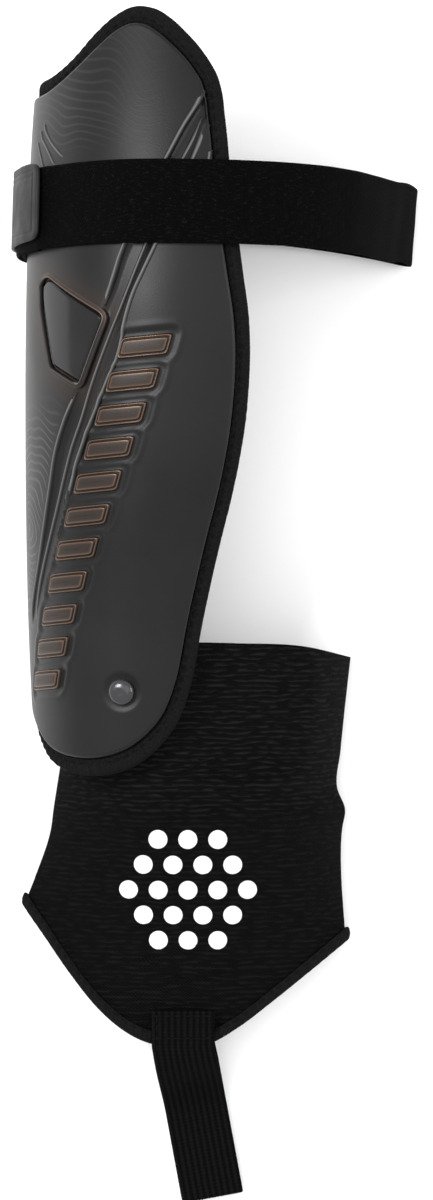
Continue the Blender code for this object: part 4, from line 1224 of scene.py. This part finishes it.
sock_outer, sock_turn, sock_up, sock_room = sock_face(0, SOCK_ROWS)
sock_inner = sock_face(SOCK_WALL, SOCK_INNER_ROWS)[0]
smooth_sock = sock_outer.copy()
x, y = sock_outer[..., 0], sock_outer[..., 1]
near = np.sin(sock_turn).clip(0) ** WRINKLE_FADE
near = near * ramp(sock_up, *WRINKLE_FROM) * ramp(1 - sock_up, *WRINKLE_TO)
loose = near * ramp(sock_room, *WRINKLE_ROOM)
crumple = sum(share * ripples(x, high * y, size, seed) for share, high, size, seed in CRUMPLES)
beside = 1 - ramp(np.abs(x + STIRRUP_LEFT), STIRRUP_WIDTH / 2, STIRRUP_WIDTH)
pulled = 1 - beside * (1 - ramp(y + SOCK_DROP, *PULLED_TO))
sock_outer[..., 2] += WRINKLE * loose * crumple * pulled
row_step = np.linalg.norm(np.diff(sock_outer, axis=1, append=sock_outer[:, :1]), axis=-1)
round_way = np.cumsum(row_step, axis=1).mean(axis=0)
sock_rows = np.vstack([sock_outer, sock_inner[::-1]])
sock_way = np.stack(np.broadcast_arrays(round_way[None], sock_rows[..., 1]), axis=-1)

# The dots' middles: a hexagon of nineteen, as seen from above.
ring = np.arange(-2, 3)
q, r = np.meshgrid(ring, ring)
kept = np.abs(q + r) <= 2
dots = DOT_PITCH * np.stack([(q + r / 2)[kept], (r * math.sqrt(3) / 2)[kept]], axis=-1)
reach = np.linalg.norm(sock_rows[..., None, :2] - dots, axis=-1).min(axis=-1) - DOT_RADIUS
turned_up = np.sin(2 * np.pi * np.arange(SOCK_COLUMNS) / SOCK_COLUMNS)[None] > 0.05
outside = np.arange(len(sock_rows))[:, None] < SOCK_ROWS
reach = np.where(turned_up & outside, reach, DOT_PITCH)

sock_knit, tree, shader = new_finish("sock_knit", (0.004, 0.004, 0.0042), 0.95, 0.03)
way_over = put(tree, "UVMap", uv_map="weave")
across = put(tree, "SeparateXYZ", {"Vector": way_over}, out="X")
upwards = put(tree, "SeparateXYZ", {"Vector": way_over}, out="Y")
drift = grain(tree, stretched(tree, way_over, (0.6, 1.2, 1)), 120, 2)
level = maths(tree, "MULTIPLY_ADD", drift, ROW_SWAY, upwards)
row = maths(tree, "SINE", maths(tree, "MULTIPLY", level, 2 * math.pi / ROW_PITCH))
row = maths(tree, "MULTIPLY_ADD", row, 0.5, 0.5)
dash = soft_step(tree, grain(tree, stretched(tree, way_over, (0.42, 1.5, 1)), 520, 1), 0.38, 0.62)
crinkle = maths(tree, "MULTIPLY", row, dash)
crinkled = soft_step(tree, upwards, *CRINKLED_FROM)
across_loops, up_loops = (
    maths(tree, "SINE", maths(tree, "MULTIPLY", way, 2 * math.pi / size))
    for way, size in zip((across, level), LOOP_SIZE)
)
stitch = maths(tree, "MULTIPLY_ADD", maths(tree, "MULTIPLY", across_loops, up_loops), 0.5, 0.5)
ribbed = maths(tree, "MULTIPLY", crinkle, maths(tree, "MULTIPLY_ADD", crinkled, 0.55, 0.45))
knit = maths(tree, "ADD", ribbed, maths(tree, "MULTIPLY", stitch, 0.4))
fluff = grain(tree, way_over, 1900, 3, 0.6)
shade = maths(tree, "MULTIPLY", knit, maths(tree, "ADD", fluff, 0.2))
yarn = mixed(tree, shade, (0.001, 0.001, 0.0011), (0.012, 0.012, 0.0125))
printed = soft_step(tree, mark(tree, "print_edge"), -0.00008, 0.00012, 1, 0)
cracked = soft_step(tree, grain(tree, way_over, 1500, 3), 0.2, 0.42, 0.82, 1)
white = mixed(tree, cracked, (0.45, 0.45, 0.45), (0.80, 0.80, 0.80))
tree.links.new(mixed(tree, printed, yarn, white), shader.inputs["Base Color"])
tree.links.new(soft_step(tree, printed, 0, 1, 0.92, 0.55), shader.inputs["Roughness"])
film = bumped(tree, printed, 0.00012, bumped(tree, knit, 0.00055))
tree.links.new(bumped(tree, fluff, 0.0002, film), shader.inputs["Normal"])
sock = make_piece(
    "sock_tube", swept(sock_rows, True), sock_knit, "ankle_sock",
    way_over=sock_way.reshape(-1, 2), print_edge=reach,
)
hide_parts("ankle_sock")

# The hem: a narrow soft tape folded round the sock's lower edge and sewn through.
HEM_BULGE = 0.0004
HEM_SEAM = 0.8
past = FIT_GAP + HEM_WALL
hem_corners = np.array([
    (1, HEM_LAP, FIT_GAP), (1, HEM_LAP, past), (1, HEM_LAP / 2, past + HEM_BULGE), (1, 0, past),
    (1, -past, 0), (-1, -past, 0), (-1, 0, past), (-1, HEM_LAP / 2, past),
    (-1, HEM_LAP, past), (-1, HEM_LAP, FIT_GAP), (-1, -FIT_GAP, FIT_GAP), (1, -FIT_GAP, FIT_GAP),
])


def sock_edge(face, way):
    """Points of the sock's lower edge on one face, with the directions up the cloth and out of it."""
    around = np.roll(face[0], -1, axis=0) - np.roll(face[0], 1, axis=0)
    into = face[1] - face[0]
    into /= np.linalg.norm(into, axis=1, keepdims=True)
    out = np.cross(around, into) * way
    return face[0], into, out / np.linalg.norm(out, axis=1, keepdims=True)


hem_sides = {1: sock_edge(smooth_sock, 1), -1: sock_edge(sock_inner, -1)}
hem_steps = np.cumsum(np.linalg.norm(np.diff(smooth_sock[0], axis=0, append=smooth_sock[:1, 0]), axis=1))
pinch = PUCKER * np.sin(2 * np.pi * hem_steps / STITCH_PITCH)
columns = []
for (side, d, n), (side_2, d_2, n_2) in zip(hem_corners, np.roll(hem_corners, -1, axis=0)):
    ends = []
    for way, reach_in, off in ((side, d, n), (side_2, d_2, n_2)):
        foot, into, out = hem_sides[int(way)]
        off = off + np.where(off > FIT_GAP, pinch, 0)
        ends.append(foot + reach_in * into + off[:, None] * out)
    columns += [ends[0] + (ends[1] - ends[0]) * t for t in np.linspace(0, 1, 4)[:-1]]
hem_rows = np.stack(columns, axis=1)
hem_rows = (np.roll(hem_rows, 1, axis=1) + 2 * hem_rows + np.roll(hem_rows, -1, axis=1)) / 4
hem_across = np.cumsum(np.linalg.norm(np.diff(hem_rows[0], axis=0, append=hem_rows[0, :1]), axis=1))
hem_way = np.stack(np.broadcast_arrays(hem_across[None], hem_steps[:, None]), axis=-1)
hem = make_piece(
    "hem_tape", swept(hem_rows, True), tape_knit, "sock_hem", way_over=hem_way.reshape(-1, 2)
)
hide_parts("sock_hem")
foot, into, out = hem_sides[1]
seam_places = foot + HEM_SEAM * HEM_LAP * into + (past + HEM_BULGE / 2) * out
at = np.arange(STITCH_PITCH / 2, hem_steps[-2], STITCH_PITCH)
centres, ahead = (
    np.stack([np.interp(at + step, hem_steps, seam_places[:, k]) for k in range(3)], axis=-1)
    for step in (0, STITCH_RADIUS)
)
ups = np.stack([np.interp(at, hem_steps, out[:, k]) for k in range(3)], axis=-1)
ways = ahead - centres
ways /= np.linalg.norm(ways, axis=1, keepdims=True)
ups -= ways * (ups * ways).sum(axis=1, keepdims=True)
ups /= np.linalg.norm(ups, axis=1, keepdims=True)
hem_seam = make_piece("hem_seam", thread(centres, ways, ups), thread_black, "sock_hem")

# The stirrup: one length of ribbed webbing, 20 mm wide, folded at its lower end and sewn on both faces
# of the sock with a box of stitches.
STIRRUP_REACH = 0.0988
STIRRUP_SEWN = 0.0115
STIRRUP_SWING = math.radians(10.5)
STIRRUP_FALL = 0.022
STIRRUP_STEP = 0.0012
STIRRUP_ROWS = 110
FOLD_ROWS = 16
RIB_PITCH = 0.00195
PICK_PITCH = 0.0011
# Distances of the stitches from the sewn end and from the edges.
SEWN_ROWS = (0.0014, 0.0088)
SEWN_COLUMNS_FROM = 0.0026
SEWN_PAST = 0.002
SEWN_MARGIN = 0.0016
ROW_MARGINS = (0.002, 0.0012)
SEWN_PITCH = STITCH_PITCH * 0.9

column = smooth_sock[:, SOCK_COLUMNS // 4]
hem_at = float(column[0, 1])
half = STIRRUP_THICKNESS / 2
y = np.linspace(hem_at + STIRRUP_SEWN, -STIRRUP_REACH + half, STIRRUP_ROWS)
sewn = np.interp(y, column[:, 1], column[:, 2]) + HEM_WALL + 3 * FIT_GAP + half
sewn = sewn + STIRRUP_STEP * ramp(-y, -hem_at - 2 * HEM_LAP, -hem_at)
rest = 3 * half + FIT_GAP
near = sewn + (rest - sewn) * ramp(-y, -hem_at + HEM_LAP / 2, -hem_at + STIRRUP_FALL)
tilt = np.linspace(0, np.pi, FOLD_ROWS + 1)[1:-1]
fold = half + FIT_GAP / 2
path_y = np.r_[y, y[-1] - fold * np.sin(tilt), y[::-1]]
path_z = np.r_[near, half + fold + fold * np.cos(tilt), np.full(len(y), half)]
below_hem = np.clip(hem_at - path_y, 0, None)
path_x = -STIRRUP_LEFT + math.tan(STIRRUP_SWING) * below_hem
swing = STIRRUP_SWING * ramp(below_hem, 0, STIRRUP_SEWN)
aside = np.stack([np.cos(swing), np.sin(swing), np.zeros(len(swing))], axis=-1)
middle = np.stack([path_x, path_y, path_z], axis=-1)
out = np.cross(np.gradient(middle, axis=0), aside)
out /= np.linalg.norm(out, axis=1, keepdims=True)
stirrup_profile = band_profile(STIRRUP_WIDTH, STIRRUP_THICKNESS)
stirrup_rows = (
    middle[:, None]
    + stirrup_profile[None, :, :1] * aside[:, None]
    + stirrup_profile[None, :, 1:] * out[:, None]
)
stirrup_path = np.r_[0, np.cumsum(np.linalg.norm(np.diff(middle, axis=0), axis=1))]
stirrup_way = np.stack(np.broadcast_arrays(stirrup_profile[None, :, 0], stirrup_path[:, None]), axis=-1)
stirrup_webbing, tree, shader = new_finish("stirrup_webbing", (0.004, 0.004, 0.0042), 0.9, 0.03)
way_over = put(tree, "UVMap", uv_map="weave")
across = put(tree, "SeparateXYZ", {"Vector": way_over}, out="X")
length = put(tree, "SeparateXYZ", {"Vector": way_over}, out="Y")
rib = maths(tree, "SINE", maths(tree, "MULTIPLY", across, 2 * math.pi / RIB_PITCH))
picks = maths(tree, "SINE", maths(tree, "MULTIPLY", length, 2 * math.pi / PICK_PITCH))
weave = maths(tree, "MULTIPLY_ADD", rib, 0.4, maths(tree, "MULTIPLY_ADD", picks, 0.12, 0.5))
lint = grain(tree, stretched(tree, way_over, (2, 0.6, 1)), 900, 3, 0.65)
fibres = maths(tree, "MULTIPLY", weave, lint)
webbing = mixed(tree, fibres, (0.001, 0.001, 0.0011), (0.008, 0.008, 0.0083))
tree.links.new(webbing, shader.inputs["Base Color"])
tree.links.new(bumped(tree, lint, 0.00012, bumped(tree, weave, 0.00018)), shader.inputs["Normal"])
stirrup = make_piece(
    "stirrup_webbing", swept(stirrup_rows), stirrup_webbing, "stirrup_strap",
    way_over=stirrup_way.reshape(-1, 2),
)
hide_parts("stirrup_strap")

# Two rows of stitches across the sewn end, and one down each of its edges.
side = STIRRUP_WIDTH / 2
row_at = np.arange(-side + ROW_MARGINS[0], side - ROW_MARGINS[1], SEWN_PITCH)
column_at = np.arange(SEWN_COLUMNS_FROM, STIRRUP_SEWN + SEWN_PAST, SEWN_PITCH)
sewn_ways = [(c, w, 0) for c in SEWN_ROWS for w in row_at]
sewn_ways += [(c, w, 1) for c in column_at for w in (SEWN_MARGIN - side, side - SEWN_MARGIN)]
sewn_ways = np.array(sewn_ways)
foot, edge, up = (
    np.stack([np.interp(sewn_ways[:, 0], stirrup_path, of[:, k]) for k in range(3)], axis=-1)
    for of in (middle, aside, out)
)
if up[0, 2] < 0:
    up = -up
down = np.cross(edge, up)
centres = foot + sewn_ways[:, 1:2] * edge + (half + STITCH_RADIUS / 3) * up
ways = np.where(sewn_ways[:, 2:] > 0, down, edge)
stirrup_seam = make_piece("stirrup_seam", thread(centres, ways, up), thread_black, "stirrup_strap")

# The studio: a white paper floor, a small strong light from the upper left, a broad soft one overhead
# and one from the right, a white sky, and the camera straight above.
FLOOR_HALF = 3.0
FLOOR_AT = -0.0001
CAMERA_AT = (0.0088, 0.0895, 1.065)
CAMERA_LENS = 100.8
SKY_STRENGTH = 1.1
# Each: place, where it points, size, watts.
LIGHTS = (
    ((-0.62, 0.34, 0.85), (0.0, 0.12, 0.03), 0.36, 9.0),
    ((0.05, 0.15, 1.35), (0.0, 0.09, 0.03), 0.90, 2.5),
    ((0.80, 0.20, 0.65), (0.0, 0.09, 0.03), 0.50, 4.0),
)
floor_paper, tree, shader = new_finish("floor_paper", (0.93, 0.93, 0.93), 0.9, 0.1)
place = put(tree, "TexCoord", out="Object")
paper = mixed(tree, grain(tree, place, 3, 2), (0.93, 0.93, 0.93), (0.95, 0.95, 0.95))
tree.links.new(paper, shader.inputs["Base Color"])
floor_mesh = bpy.data.meshes.new("floor")
corners = [(x * FLOOR_HALF, y * FLOOR_HALF, FLOOR_AT) for x, y in ((-1, -1), (1, -1), (1, 1), (-1, 1))]
floor_mesh.from_pydata(corners, [], [(0, 1, 2, 3)])
floor_mesh.materials.append(floor_paper)
floor = bpy.data.objects.new("floor", floor_mesh)
bpy.context.scene.collection.objects.link(floor)


def aim(thing, at, towards):
    """Puts a light or camera at a place and turns it towards another."""
    way = np.subtract(towards, at)
    way = way / np.linalg.norm(way)
    thing.location = at
    thing.rotation_euler = (math.acos(-way[2]), 0, math.atan2(way[0], -way[1]) + math.pi)


for k, (at, towards, size, watts) in enumerate(LIGHTS):
    lamp = bpy.data.lights.new(f"soft_light_{k}", "AREA")
    lamp.size = size
    lamp.energy = watts
    holder = bpy.data.objects.new(lamp.name, lamp)
    bpy.context.scene.collection.objects.link(holder)
    aim(holder, at, towards)
sky = bpy.data.worlds.new("studio")
sky.use_nodes = True
sky.node_tree.nodes["Background"].inputs["Color"].default_value = (1, 1, 1, 1)
sky.node_tree.nodes["Background"].inputs["Strength"].default_value = SKY_STRENGTH
bpy.context.scene.world = sky
bpy.context.scene.view_settings.view_transform = "Standard"
lens = bpy.data.cameras.new("overhead")
lens.lens = CAMERA_LENS
camera = bpy.data.objects.new("overhead", lens)
camera.location = CAMERA_AT
bpy.context.scene.collection.objects.link(camera)
bpy.context.scene.camera = camera
